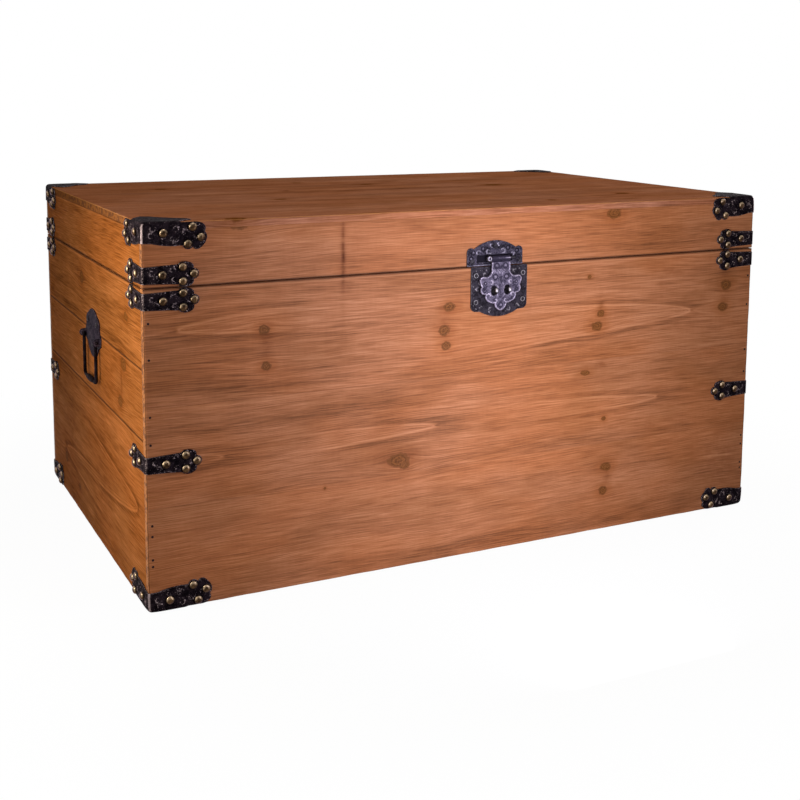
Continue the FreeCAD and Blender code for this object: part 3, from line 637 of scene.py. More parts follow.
@dataclass(frozen=True)
class Metal:
    """A worn metal: dark in the hollows, bare on the ridges that the attribute "wear" marks, which on some
    pieces also holds painted highlights and painted shade.
    """

    name: str
    hollow: Colour
    ground: Colour
    bare: Colour
    ground_roughness: float
    bare_roughness: float
    grain: float
    grain_depth: float = 0.05
    ground_metal: float = 0.0
    specular: float = 0.25
    glints: float = 0.0
    glance_tint: Colour = (1.0, 0.80, 0.92)

    def material(self) -> Material:
        """Build the metal's shader.

        Returns:
            The material.
        """
        graph = Graph.of_material(self.name)
        place = graph.combine(*graph.object_position())
        fine = graph.noise(place, self.grain, detail=3.0, roughness=0.65)
        blotch = graph.noise(place, 0.14, detail=3.0)
        pits = graph.cells(place, self.grain * 0.8)
        wear = graph.attribute("wear") + (fine - 0.5) * 0.45 + (blotch - 0.5) * 0.25
        # Glints are painted highlights: scattered specks made bare and bright.
        if self.glints:
            wear = wear + graph.noise(place, 0.95, detail=1.0).smooth(0.54, 0.76) * self.glints
        raised = (blotch * 0.5 + fine * 0.5).smooth(0.38, 0.62) * graph.attribute("wear").smooth(-0.5, 0.0)
        ground = graph.blend(raised, self.hollow, self.ground)
        worn = wear.smooth(0.35, 0.95)
        colour = graph.blend(worn, ground, self.bare)
        rough = self.ground_roughness + worn * (self.bare_roughness - self.ground_roughness)
        height = fine * 0.6 + pits.smooth(0.0, 0.45) * 0.4
        return graph.finish(Base_Color=colour, Specular_Tint=self.glance_tint,
                            Metallic=worn * (1.0 - self.ground_metal) + self.ground_metal,
                            Roughness=rough + (fine - 0.5) * 0.12, Specular_IOR_Level=self.specular,
                            Normal=graph.bump(height, self.grain_depth))


BLACK_IRON = Metal("blackened_iron", (0.003, 0.002, 0.003), (0.026, 0.017, 0.021), (0.250, 0.190, 0.185),
                   ground_roughness=0.60, bare_roughness=0.45, grain=0.95, grain_depth=0.30,
                   specular=0.008, glints=0.56)
HANDLE_IRON = Metal("handle_iron", (0.007, 0.005, 0.010), (0.040, 0.028, 0.042), (0.160, 0.120, 0.140),
                    ground_roughness=0.62, bare_roughness=0.50, grain=0.60, grain_depth=0.30,
                    specular=0.02, glints=0.20)
PLATE_IRON = Metal("plate_iron", (0.006, 0.005, 0.008), (0.070, 0.059, 0.078), (0.240, 0.210, 0.245),
                   ground_roughness=0.55, bare_roughness=0.42, grain=0.55, grain_depth=0.25,
                   specular=0.08, glints=0.30)
LOWER_IRON = Metal("lower_plate_iron", (0.005, 0.004, 0.005), (0.036, 0.030, 0.036), (0.190, 0.165, 0.170),
                   ground_roughness=0.55, bare_roughness=0.42, grain=0.55, grain_depth=0.25,
                   specular=0.08, glints=0.40)
TONGUE_IRON = Metal("tongue_iron", (0.022, 0.018, 0.030), (0.145, 0.120, 0.158), (0.380, 0.320, 0.380),
                    ground_metal=0.10, ground_roughness=0.50, bare_roughness=0.40, grain=0.60,
                    grain_depth=0.22, specular=0.15, glints=0.26)
ANTIQUE_BRASS = Metal("antique_brass_heads", (0.018, 0.009, 0.004), (0.085, 0.046, 0.020),
                      (0.500, 0.370, 0.235), ground_metal=0.9, ground_roughness=0.30,
                      bare_roughness=0.24, grain=0.50)
BRIGHT_WIRE = Metal("dulled_steel", (0.008, 0.007, 0.008), (0.050, 0.044, 0.048), (0.400, 0.360, 0.365),
                    ground_metal=0.5, ground_roughness=0.50, bare_roughness=0.30, grain=0.80)
RUSTED_WIRE = Metal("rusted_brads", (0.012, 0.007, 0.005), (0.030, 0.014, 0.009), (0.060, 0.030, 0.018),
                    ground_metal=0.3, ground_roughness=0.7, bare_roughness=0.6, grain=1.0)


# ------------------------------------------------------------------ surfaces

def smooth_step(value: Array, low: float, high: float) -> Array:
    """The cubic 3 t t - 2 t t t of t = (value - low) / (high - low), kept between 0 and 1."""
    t = np.clip((value - low) / (high - low), 0.0, 1.0)
    return t * t * (3.0 - 2.0 * t)


def bell(value: Array, middle: float, width: float) -> Array:
    """The bell curve exp(-t t) of t = (value - middle) / width: a soft ridge of height 1."""
    return np.exp(-((value - middle) / width) ** 2)


def unit(vectors: Array) -> Array:
    """Each vector divided by its length."""
    return vectors / np.maximum(np.linalg.norm(vectors, axis=-1, keepdims=True), 1e-12)


def wave(points: Array, length: float, phase: float = 0.0) -> Array:
    """Uneven waves between about -1 and 1: sines of three slanted sums of the coordinates.

    Args:
        points: places, in millimetres.
        length: about how far apart the waves are.
        phase: shifts the pattern.

    Returns:
        One number for each place.
    """
    x, y, z = (points[..., i] * (math.tau / length) for i in range(3))
    first = np.sin(x + 1.3 * y + 0.9 * z + phase)
    second = np.sin(1.83 * x - 0.7 * y + 2.1 * z + 2.0 * phase)
    third = np.sin(0.61 * x + 2.3 * y - 1.4 * z + 3.0 * phase)
    return (first + 0.6 * second + 0.5 * third) / 2.1


def curve(start: Spot, *steps: tuple) -> Array:
    """A line of straight runs and arcs in a plane.

    Args:
        start: its first point.
        steps: an end point for a straight run, or a middle and an end point for an arc.

    Returns:
        Its points, with each arc cut into short runs.
    """
    points = [np.array([start], float)]
    for step in steps:
        if isinstance(step[0], tuple):
            points.append(arc(points[-1][-1], *(np.array(point, float) for point in step)))
        else:
            points.append(np.array([step], float))
    return np.concatenate(points)


def arc(first: Array, middle: Array, last: Array, count: int = 24) -> Array:
    """Points on the circle through three points.

    The centre is where the perpendicular bisectors meet; the angle runs from the first point to the last
    on the middle point's side.

    Args:
        first: where it starts, which isn't repeated.
        middle: a point on the way.
        last: where it ends.
        count: how many points to give.

    Returns:
        The points after the first.
    """
    sides = 2.0 * np.array([middle - first, last - first])
    squares = np.array([middle @ middle - first @ first, last @ last - first @ first])
    centre = np.linalg.solve(sides, squares)
    angles = [math.atan2(*(point - centre)[::-1]) for point in (first, middle, last)]
    turn = (angles[2] - angles[0]) % math.tau
    if (angles[1] - angles[0]) % math.tau > turn:
        turn -= math.tau
    swept = angles[0] + turn * np.linspace(0, 1, count + 1)[1:]
    return centre + np.linalg.norm(first - centre) * np.stack([np.cos(swept), np.sin(swept)], -1)


def spread(line: Array, where: Union[int, Array]) -> Array:
    """Points along a line, found by linear interpolation over its length.

    Args:
        line: its points.
        where: fractions of its length, or how many evenly spaced points to give.

    Returns:
        The points.
    """
    fractions = np.linspace(0, 1, where) if isinstance(where, int) else where
    reached = np.concatenate([[0.0], np.cumsum(np.linalg.norm(np.diff(line, axis=0), axis=1))])
    return np.stack([np.interp(fractions * reached[-1], reached, part) for part in line.T], -1)


def coons(bottom: Array, top: Array, start: Array, end: Array) -> Array:
    """A Coons patch: the sum of the two ruled surfaces between opposite sides less the corners' own.

    Args:
        bottom: side points from start to end.
        top: side points from start to end.
        start: side points from bottom to top.
        end: side points from bottom to top.

    Returns:
        A grid of points, first along the bottom, then along the start.
    """
    u = np.linspace(0, 1, len(bottom))[:, None, None]
    v = np.linspace(0, 1, len(start))[None, :, None]
    across = (1 - v) * bottom[:, None] + v * top[:, None]
    along = (1 - u) * start[None] + u * end[None]
    corners = (1 - u) * ((1 - v) * bottom[0] + v * top[0]) + u * ((1 - v) * bottom[-1] + v * top[-1])
    return across + along - corners


def spokes(inner: Array, outer: Array, rows: int) -> Array:
    """Rows of points on straight lines from each point of a loop, or one point, to the loop round it."""
    t = np.linspace(0, 1, rows)[None, :, None]
    return (1 - t) * np.broadcast_to(inner, outer.shape)[:, None] + t * outer[:, None]


def distance_to(points: Array, line: Array, batch: int = 1500) -> Array:
    """Distance from each point to the nearest point of a finely divided line.

    Args:
        points: places in a plane.
        line: the line's points.
        batch: how many places are measured at once.

    Returns:
        One number for each place.
    """
    flat = points.reshape(-1, 2)
    gaps = np.concatenate([np.linalg.norm(part[:, None] - line[None], axis=-1).min(1)
                           for part in np.array_split(flat, max(1, len(flat) // batch))])
    return gaps.reshape(points.shape[:-1])


def outward(line: Array) -> Array:
    """Unit normals on the right-hand side of a line in a plane."""
    along = unit(np.gradient(line, axis=0))
    return np.stack([along[:, 1], -along[:, 0]], -1)


def rim(line: Array, height: Array, steps: Sequence[Spot],
        side: float = 1.0) -> tuple[Array, Array]:
    """The edge of a sheet: rows of points that step outwards and down from its outline.

    Args:
        line: the outline.
        height: how far it stands off the wood.
        steps: how far each row lies outwards and up from the outline.
        side: 1 for an outer edge, -1 for a hole's.

    Returns:
        The rows' plan, and their heights, which stay above the wood.
    """
    out, up = np.array(steps).T
    plan = line[:, None] + side * outward(line)[:, None] * out[None, :, None]
    return plan, np.maximum(height[:, None] + up[None], 0.0)


def rounded(points: Array, low: Array, high: Array, radius: Union[float, Array]) -> Array:
    """Pull what lies outside a box with rounded edges onto it.

    With c the place held inside the box by the radius, a point further than the radius from c moves to
    c + radius * (p - c) / |p - c|.

    Args:
        points: places on or in the sharp box.
        low: its lowest corner.
        high: its highest corner.
        radius: of the edges, one number or one for each point.

    Returns:
        The moved points.
    """
    reach = np.broadcast_to(np.asarray(radius, float), points.shape[:-1])[..., None]
    core = np.clip(points, low + reach, high - reach)
    away = points - core
    length = np.maximum(np.linalg.norm(away, axis=-1, keepdims=True), 1e-9)
    return np.where(length > reach, core + away * (reach / length), points)


def scrolls(plan: Array, centres: Sequence[Coil]) -> Array:
    """Ridges of coiled leaves: logarithmic spirals, ln(r) / 0.5 - hand * angle = constant.

    Args:
        plan: places on the plate.
        centres: x, z, reach, hand and phase of each coil.

    Returns:
        Heights between 0 and 1.
    """
    height = np.zeros(plan.shape[:-1])
    for x, z, reach, hand, phase in centres:
        away = plan - np.array([x, z])
        far = np.hypot(away[..., 0], away[..., 1])
        angle = np.arctan2(away[..., 1], away[..., 0])
        turn = np.log(np.maximum(far, 0.3) / 0.5) / 0.5 - hand * angle + phase
        ridge = (0.5 + 0.5 * np.cos(turn)) ** 1.6 * smooth_step(far, reach, reach * 0.75)
        height = np.maximum(height, ridge)
    return height


def studs(plan: Array, places: Sequence[Spot], radius: float) -> Array:
    """Rings round small hollows: a ridge at the radius from each place.

    Args:
        plan: places on the plate.
        places: the rings' middles.
        radius: of each ring.

    Returns:
        Heights: 1 on the ring, below 0 inside it.
    """
    height = np.zeros(plan.shape[:-1])
    for place in places:
        far = np.linalg.norm(plan - np.array(place), axis=-1) / radius
        ring = bell(far, 0.9, 0.22) - 0.7 * smooth_step(far, 0.8, 0.35)
        height = np.where(far < 1.35, ring, height)
    return height


@dataclass
class Skin:
    """Patches of surface points, welded into one mesh."""

    patches: list[Array] = field(default_factory=list)
    wears: list[Array] = field(default_factory=list)

    def add(self, points: Array, wear: Union[float, Array] = 0.0, mirrored: bool = False) -> None:
        """Add a grid of points whose normal is first direction x second direction.

        Args:
            points: the grid, in millimetres.
            wear: how bare the metal is, one number or one for each point; on some pieces it also holds
                painted highlights and painted shade.
            mirrored: true to turn the normal round.
        """
        worn = np.broadcast_to(np.asarray(wear, float), points.shape[:-1])
        if mirrored:
            points, worn = points[::-1], worn[::-1]
        self.patches.append(points)
        self.wears.append(worn)

    def build(self, name: str, material: Material, sharp: float = 50.0) -> bpy.types.Object:
        """Weld the patches and make the object.

        Points closer than a micrometre become one, and triangles that lose a corner go.

        Args:
            name: the piece's name.
            material: its finish.
            sharp: the angle in degrees past which an edge stays sharp.

        Returns:
            The object, at the origin.
        """
        corners, start = [], 0
        for patch in self.patches:
            index = np.arange(patch.shape[0] * patch.shape[1]).reshape(patch.shape[:2]) + start
            a, b, c, d = index[:-1, :-1], index[1:, :-1], index[1:, 1:], index[:-1, 1:]
            corners.append(np.stack([a, b, c, a, c, d], -1).reshape(-1, 3))
            start += index.size
        places = np.concatenate([patch.reshape(-1, 3) for patch in self.patches])
        worn = np.concatenate([wear.reshape(-1) for wear in self.wears])
        _, first, number = np.unique(np.round(places * 1000.0).astype(np.int64), axis=0,
                                     return_index=True, return_inverse=True)
        triangles = number.reshape(-1)[np.concatenate(corners)]
        triangles = triangles[(triangles != np.roll(triangles, 1, axis=1)).all(axis=1)]
        mesh = bpy.data.meshes.new(name)
        mesh.vertices.add(len(first))
        mesh.vertices.foreach_set("co", (places[first] * MM).ravel())
        mesh.loops.add(triangles.size)
        mesh.loops.foreach_set("vertex_index", triangles.ravel().astype(np.int32))
        mesh.polygons.add(len(triangles))
        mesh.polygons.foreach_set("loop_start", np.arange(len(triangles), dtype=np.int32) * 3)
        mesh.polygons.foreach_set("use_smooth", np.ones(len(triangles), bool))
        mesh.update(calc_edges=True)
        wear = mesh.attributes.new("wear", "FLOAT", "POINT")
        wear.data.foreach_set("value", worn[first].astype(np.float32))
        mesh.set_sharp_from_angle(angle=math.radians(sharp))
        mesh.materials.append(material)
        piece = bpy.data.objects.new(name, mesh)
        bpy.context.scene.collection.objects.link(piece)
        return piece


def joint_place(name: str) -> Array:
    """Where a joint of the frame lies, in millimetres."""
    return np.array(next(joint["pos_m"] for joint in frame["joints"] if joint["name"] == name)) / MM


def install(piece: bpy.types.Object, body: str, slot: str, *nodes: str) -> None:
    """Let a piece ride on a body in place of the CAD nodes, and report it.

    Args:
        piece: the finished object.
        body: the body that carries it.
        slot: the record's material slot; not used.
        nodes: the CAD nodes that it stands for.
    """
    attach(piece, body)
    if nodes:
        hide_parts(*nodes)
    log.info("%s: %d triangles on %s", piece.name, len(piece.data.polygons), body)


def node_box(name: str) -> tuple[Array, Array]:
    """Lowest and highest corner of a CAD node, in millimetres."""
    low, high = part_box(name)
    return np.array(low) / MM, np.array(high) / MM


def revolve(profile: Array, centres: Array, directions: Array, segments: int) -> Array:
    """Turn a profile of radius and height round each centre's direction.

    Args:
        profile: radius and height of each ring.
        centres: one place for each copy.
        directions: the unit axis of each copy.
        segments: points on a ring, less the one that closes it.

    Returns:
        Grids of points: copy, round the ring, along the profile.
    """
    upright = np.abs(directions[:, 2:3]) >= 0.9
    side = unit(np.cross(np.where(upright, RIGHT, UP), directions))
    other = np.cross(directions, side)
    turn = np.linspace(0, math.tau, segments + 1)[None, :, None, None]
    spin = np.cos(turn) * side[:, None, None] + np.sin(turn) * other[:, None, None]
    radius, height = profile[None, None, :, 0:1], profile[None, None, :, 1:2]
    return centres[:, None, None] + spin * radius + directions[:, None, None] * height


# ------------------------------------------------------------------ boards

@dataclass(frozen=True)
class Carcass:
    """The outside of the base or of the lid, with the radii its edges are worn to."""

    low: Array
    high: Array
    seam: float
    edge_radius: float = 1.7
    seam_radius: float = 0.8
    corner_radius: float = 4.0

    def wear_down(self, points: Array) -> Array:
        """Round the outer edges unevenly, more at the corners and less along the seam.

        Args:
            points: places on a board, in millimetres.

        Returns:
            The moved places.
        """
        to_seam = smooth_step(np.abs(points[..., 2] - self.seam), 2.0, 14.0)
        radius = self.seam_radius + (self.edge_radius - self.seam_radius) * to_seam
        radius = radius * (1.0 + 0.28 * wave(points, 61.0) + 0.16 * wave(points, 17.0, 1.0))
        middle, half = (self.low + self.high) / 2, (self.high - self.low) / 2
        to_corner = np.linalg.norm(np.abs(points - middle) - half, axis=-1)
        radius = radius + (self.corner_radius - radius) * bell(to_corner, 0.0, 14.0) * to_seam
        return rounded(points, self.low, self.high, radius)


@dataclass(frozen=True)
class Board:
    """One board: a closed box with worn edges."""

    node: str
    body: str
    material: Material
    carcass: Carcass
    arris: float = 0.35
    step: float = 12.0

    EDGE_TICKS = (0.0, 0.2, 0.45, 0.8, 1.25, 1.8, 2.6, 3.8)

    def ticks(self, low: float, high: float) -> Array:
        """Places of the grid's lines along one axis, close together near both ends.

        Args:
            low: where the board starts.
            high: where it ends.

        Returns:
            The places.
        """
        *near, last = self.EDGE_TICKS
        middle = np.linspace(low + last, high - last, max(2, round((high - low) / self.step)))
        return np.concatenate([low + np.array(near), middle, (high - np.array(near))[::-1]])

    def build(self) -> None:
        """Make the six faces and round them."""
        low, high = node_box(self.node)
        lines = [self.ticks(low[i], high[i]) for i in range(3)]
        skin = Skin()
        for axis in range(3):
            first, second = (axis + 1) % 3, (axis + 2) % 3
            u, v = np.meshgrid(lines[first], lines[second], indexing="ij")
            for level, inside_out in ((low[axis], True), (high[axis], False)):
                face = np.empty(u.shape + (3,))
                face[..., first], face[..., second], face[..., axis] = u, v, level
                face = self.carcass.wear_down(rounded(face, low, high, self.arris))
                skin.add(face, mirrored=inside_out)
        install(skin.build("wood_" + self.node, self.material), self.body, "pine", self.node)


FIGURE = {
    "front": {
        "knots": ((-257, 275, 4.4, 1.2), (-255, 241, 4, 1.2), (-44, 284, 4.6, 1.4), (-50, 259, 5.2, 1.2),
                  (-48, 243, 3.8, 1.5), (151, 246, 5, 1.5), (156, 260, 3.6, 1.3), (341, 284, 6, 1.2),
                  (337, 256, 5.4, 1.3), (-105, 119, 6.4, 1.8), (-98, 114, 4.6, 1.3), (169, 75, 4.8, 1.5),
                  (166, 46, 4.6, 1.3), (136, 193, 3, 2), (171, 378, 6.6, 1.3), (-282, 388, 8, 1.3),
                  (-191, 102, 1.3, 1), (139, 305, 2.2, 1.2), (164, 135, 2.4, 1.2)),
        "flames": ((286, 254, 400, 27), (-62, 151, 190, 11), (239, 154, 260, 13), (-303, 150, 70, 7),
                   (-345, 283, -210, 15)),
        "streaks": ((20, 183, 420, 7, 0.17), (-250, 221, 160, 5, 0.20), (60, 198, 320, 3, 0.12),
                    (120, 113, 300, 4, 0.13), (60, 12, 330, 9, 0.16), (338, 65, 26, 2.2, -0.40),
                    (120, 338, 260, 5, 0.10), (-40, 352, 120, 8, -0.08)),
        "smears": ((-170, 352, 2.6, 60, 1), (-170.5, 350, 4.2, 75, 0.9), (-169, 338, 3, 24, 1),
                   (-163, 316, 9, 12, 0.5), (156, 270, 8, 16, 0.8), (-255, 262, 11, 26, 0.6),
                   (-49, 262, 9, 22, 0.6), (160, 201, 22, 8, 0.8), (171, 62, 11, 20, 0.6),
                   (-94, 122, 24, 9, 0.8), (341, 302, 14, 11, 0.6), (339, 268, 11, 22, 0.5),
                   (255, 305, 30, 9, 0.5), (-290, 222, 90, 5, 0.4), (-20, 10, 90, 5, 0.7),
                   (345, 60, 50, 50, 0.5))},
    "left": {
        "knots": ((-160, 235, 7, 1.4), (-143, 193, 6, 1.3), (35, 297, 7.5, 1.2), (-175, 288, 4.5, 1.5),
                  (156, 47, 5.5, 1.2), (78, 33, 3.5, 1.8)),
        "flames": ((-205, 96, -330, 34), (150, 60, 260, 22)),
        "streaks": ((60, 168, 260, 5, 0.14), (0, 252, 240, 4, 0.16)),
        "smears": ((-150, 214, 7, 30, 0.8), (-60, 70, 60, 40, 0.5), (120, 100, 70, 60, 0.5),
                   (60, 300, 40, 24, 0.5))},
    "right": {
        "knots": ((120, 262, 6, 1.3), (-96, 118, 7, 1.2), (40, 52, 4.5, 1.5), (-170, 205, 5, 1.3)),
        "flames": ((180, 110, 300, 24), (-60, 292, 240, 16))},
    "back": {
        "knots": ((-210, 150, 6, 1.3), (60, 62, 5, 1.2), (188, 236, 6.5, 1.4), (-40, 290, 4.5, 1.3),
                  (300, 120, 5, 1.2), (-320, 48, 4.5, 1.2), (95, 362, 5, 1.5)),
        "flames": ((140, 130, 260, 14), (-80, 250, 220, 13))},
    "top": {
        "knots": ((-170, -62, 5, 1.3), (168, 22, 8, 1.4), (12, 96, 6, 1.3), (-66, 150, 5, 1.2),
                  (252, -150, 6, 1.3), (-262, 120, 5.5, 1.2), (120, -190, 4, 1.2),
                  (-284, -238, 7, 1.4)),
        "flames": ((240, -150, 300, 22), (-120, 40, -260, 24)),
        "streaks": ((60, 14, 300, 10, 0.16), (-180, 96, 200, 8, 0.14))}}
SIDE_STAIN = {"dark": (0.125, 0.037, 0.007), "middle": (0.345, 0.112, 0.024),
              "light": (0.580, 0.205, 0.058), "gloss": 0.01}
STAIN = {"left": SIDE_STAIN | {"ring_pitch": 11.0}, "right": SIDE_STAIN,
         "top": {"dark": (0.165, 0.064, 0.028), "middle": (0.440, 0.170, 0.085),
                 "light": (0.680, 0.310, 0.170), "end_grain": (0.310, 0.112, 0.032), "gloss": 0.0}}


class WoodenBox:
    """The boards of base and lid, and the plywood floor."""

    def __init__(self) -> None:
        """Read the box's sizes from the frame."""
        front, rail, middle = (node_box(name) for name in (
            "front_board_lower", "lid_front_rail", "lid_top_board_middle"))
        back_top = node_box("back_board_upper")[1]
        self.low = front[0]
        self.high = np.array([front[1][0], back_top[1], middle[1][2]])
        self.base_top, self.lid_bottom, self.rail_top = back_top[2], rail[0][2], rail[1][2]
        self.floor_level = front[0][2]
        self.seam = (self.base_top + self.lid_bottom) / 2
        self.front_joints, self.side_joints = (
            tuple(node_box("%s_board_%s" % (wall, course))[0][2] for course in ("middle", "upper"))
            for wall in ("front", "left"))
        self.top_joints = (middle[0][1], middle[1][1])

    def finishes(self) -> dict[str, Material]:
        """The wood of each wall, with its knots, flames, streaks and smears.

        Returns:
            A material for each wall's name.
        """
        # The lid/base gap is drawn as a wide dark band: painted shade in the gap.
        seam = Joint(self.seam, 0.92, 2.2)
        long_joints = (*(Joint(z, 0.16) for z in self.front_joints), seam, Joint(self.rail_top, 0.12))
        side_joints = (*(Joint(z, 0.80, 1.4) for z in self.side_joints), seam,
                       Joint(self.rail_top, 0.7, 1.2))
        top_joints = tuple(Joint(y, 0.22) for y in self.top_joints)
        walls = {
            "front": ((Axis.X, Axis.Z, Axis.Y), self.low[1], 1.0, long_joints),
            "left": ((Axis.Y, Axis.Z, Axis.X), self.low[0], 31.0, side_joints),
            "right": ((Axis.Y, Axis.Z, Axis.X), self.high[0], 57.0, side_joints),
            "back": ((Axis.X, Axis.Z, Axis.Y), self.high[1], 83.0, long_joints),
            "top": ((Axis.X, Axis.Y, Axis.Z), self.high[2], 109.0, top_joints)}
        woods = {}
        for wall, (axes, face, seed, joints) in walls.items():
            base = 0.0 if wall == "top" else self.floor_level
            marks = {kind: tuple(MARKS[kind](*row).raised(base) for row in rows)
                     for kind, rows in FIGURE[wall].items()}
            pine = Pine("pine_" + wall, *axes, face, seed, joints, **marks, **STAIN.get(wall, {}))
            woods[wall] = pine.material()
        return woods

    def build(self) -> None:
        """Make every board and dress the plywood floor."""
        woods = self.finishes()
        base = Carcass(self.low, np.array([*self.high[:2], self.base_top]), self.base_top)
        lid = Carcass(np.array([*self.low[:2], self.lid_bottom]), self.high, self.lid_bottom)
        for wall in ("front", "back", "left", "right"):
            for course in ("lower", "middle", "upper"):
                arris = 0.15 if wall in ("front", "back") else 0.4
                Board("%s_board_%s" % (wall, course), "base", woods[wall], base, arris).build()
            Board("lid_%s_rail" % wall, "lid", woods[wall], lid, 0.2).build()
        for place in ("front", "middle", "back"):
            Board("lid_top_board_" + place, "lid", woods["top"], lid, 0.2).build()
        dress("bottom_panel", Plywood().material())


def dress(node: str, material: Material) -> None:
    """Give a CAD node that stays in view its finish.

    Args:
        node: the node's name.
        material: its finish.
    """
    mesh = frame["nodes"][node].data
    mesh.materials.clear()
    mesh.materials.append(material)
    log.info("%s: CAD node dressed in %s", node, material.name)


# ------------------------------------------------------------------ corner irons and their nails

@dataclass(frozen=True)
class Corner:
    """One vertical edge of the chest, seen from its own frame: wood at +x, +y and +z."""

    name: str
    side: int
    face: int

    def place(self, points: Array, box: WoodenBox, level: float, upside_down: bool) -> Array:
        """Take points from the corner's frame to the chest.

        Upside down is half a turn about the line x = y, which takes x to y, y to x and z to -z.

        Args:
            points: places in the corner's frame.
            box: the wooden box.
            level: the level of the corner's zero.
            upside_down: true for a bracket under the lid's top edge.

        Returns:
            The places on the chest.
        """
        if upside_down:
            points = points[..., [1, 0, 2]] * np.array([1.0, 1.0, -1.0])
        turns = {(-1, -1): (1, 0), (1, -1): (0, 1), (1, 1): (-1, 0), (-1, 1): (0, -1)}
        cosine, sine = turns[(self.side, self.face)]
        x = cosine * points[..., 0] - sine * points[..., 1]
        y = sine * points[..., 0] + cosine * points[..., 1]
        corner_x = box.high[0] if self.side > 0 else box.low[0]
        corner_y = box.high[1] if self.face > 0 else box.low[1]
        return np.stack([x + corner_x, y + corner_y, points[..., 2] + level], -1)


CORNERS = (Corner("front_left", -1, -1), Corner("front_right", 1, -1),
           Corner("back_right", 1, 1), Corner("back_left", -1, 1))
IRON = 1.2


def wrap(sharp: Array, height: Array, bend: float, ball: float, folds: int) -> Array:
    """Lay a sheet round the wooden corner.

    The sharp place is held inside the wood by the bend's radius, which gives the centre c; the sheet's
    point is c + (radius + height) in the direction of the sharp place. The radius grows near the corner.

    Args:
        sharp: places on the planes that lie the sheet's thickness outside the wood.
        height: how far each point stands off the wood.
        bend: inner radius of the folds.
        ball: inner radius at the corner itself.
        folds: 3 for a bracket that also lies on the corner's third side, 2 for a strap.

    Returns:
        The places in the corner's frame.
    """
    to_corner = np.linalg.norm(sharp + IRON, axis=-1, keepdims=True)
    radius = bend + (ball - bend) * bell(to_corner, 0.0, 9.0)
    centre = sharp.copy()
    centre[..., :folds] = np.maximum(sharp, radius)[..., :folds]
    return centre + unit(sharp - centre) * (radius + height[..., None])


class Sheet(Enum):
    """The three planes of a corner iron: how plan places lie on them, and whether that mirrors them."""

    FRONT = ((0, 2), 1, False)
    SIDE = ((1, 2), 0, True)
    CAP = ((0, 1), 2, True)

    def lay(self, plan: Array) -> Array:
        """Put plan places on the plane, the sheet's thickness outside the wood.

        Args:
            plan: places in the sheet's plane.

        Returns:
            The places in the corner's frame.
        """
        points = np.full(plan.shape[:-1] + (3,), -IRON)
        points[..., self.value[0]] = plan
        return points


@dataclass(frozen=True)
class Leaf:
    """One leaf of an iron in its own plane: it is the same on every corner."""

    grid: Array
    free: Array
    to_edge: Array
    height: Array
    edge_height: Array


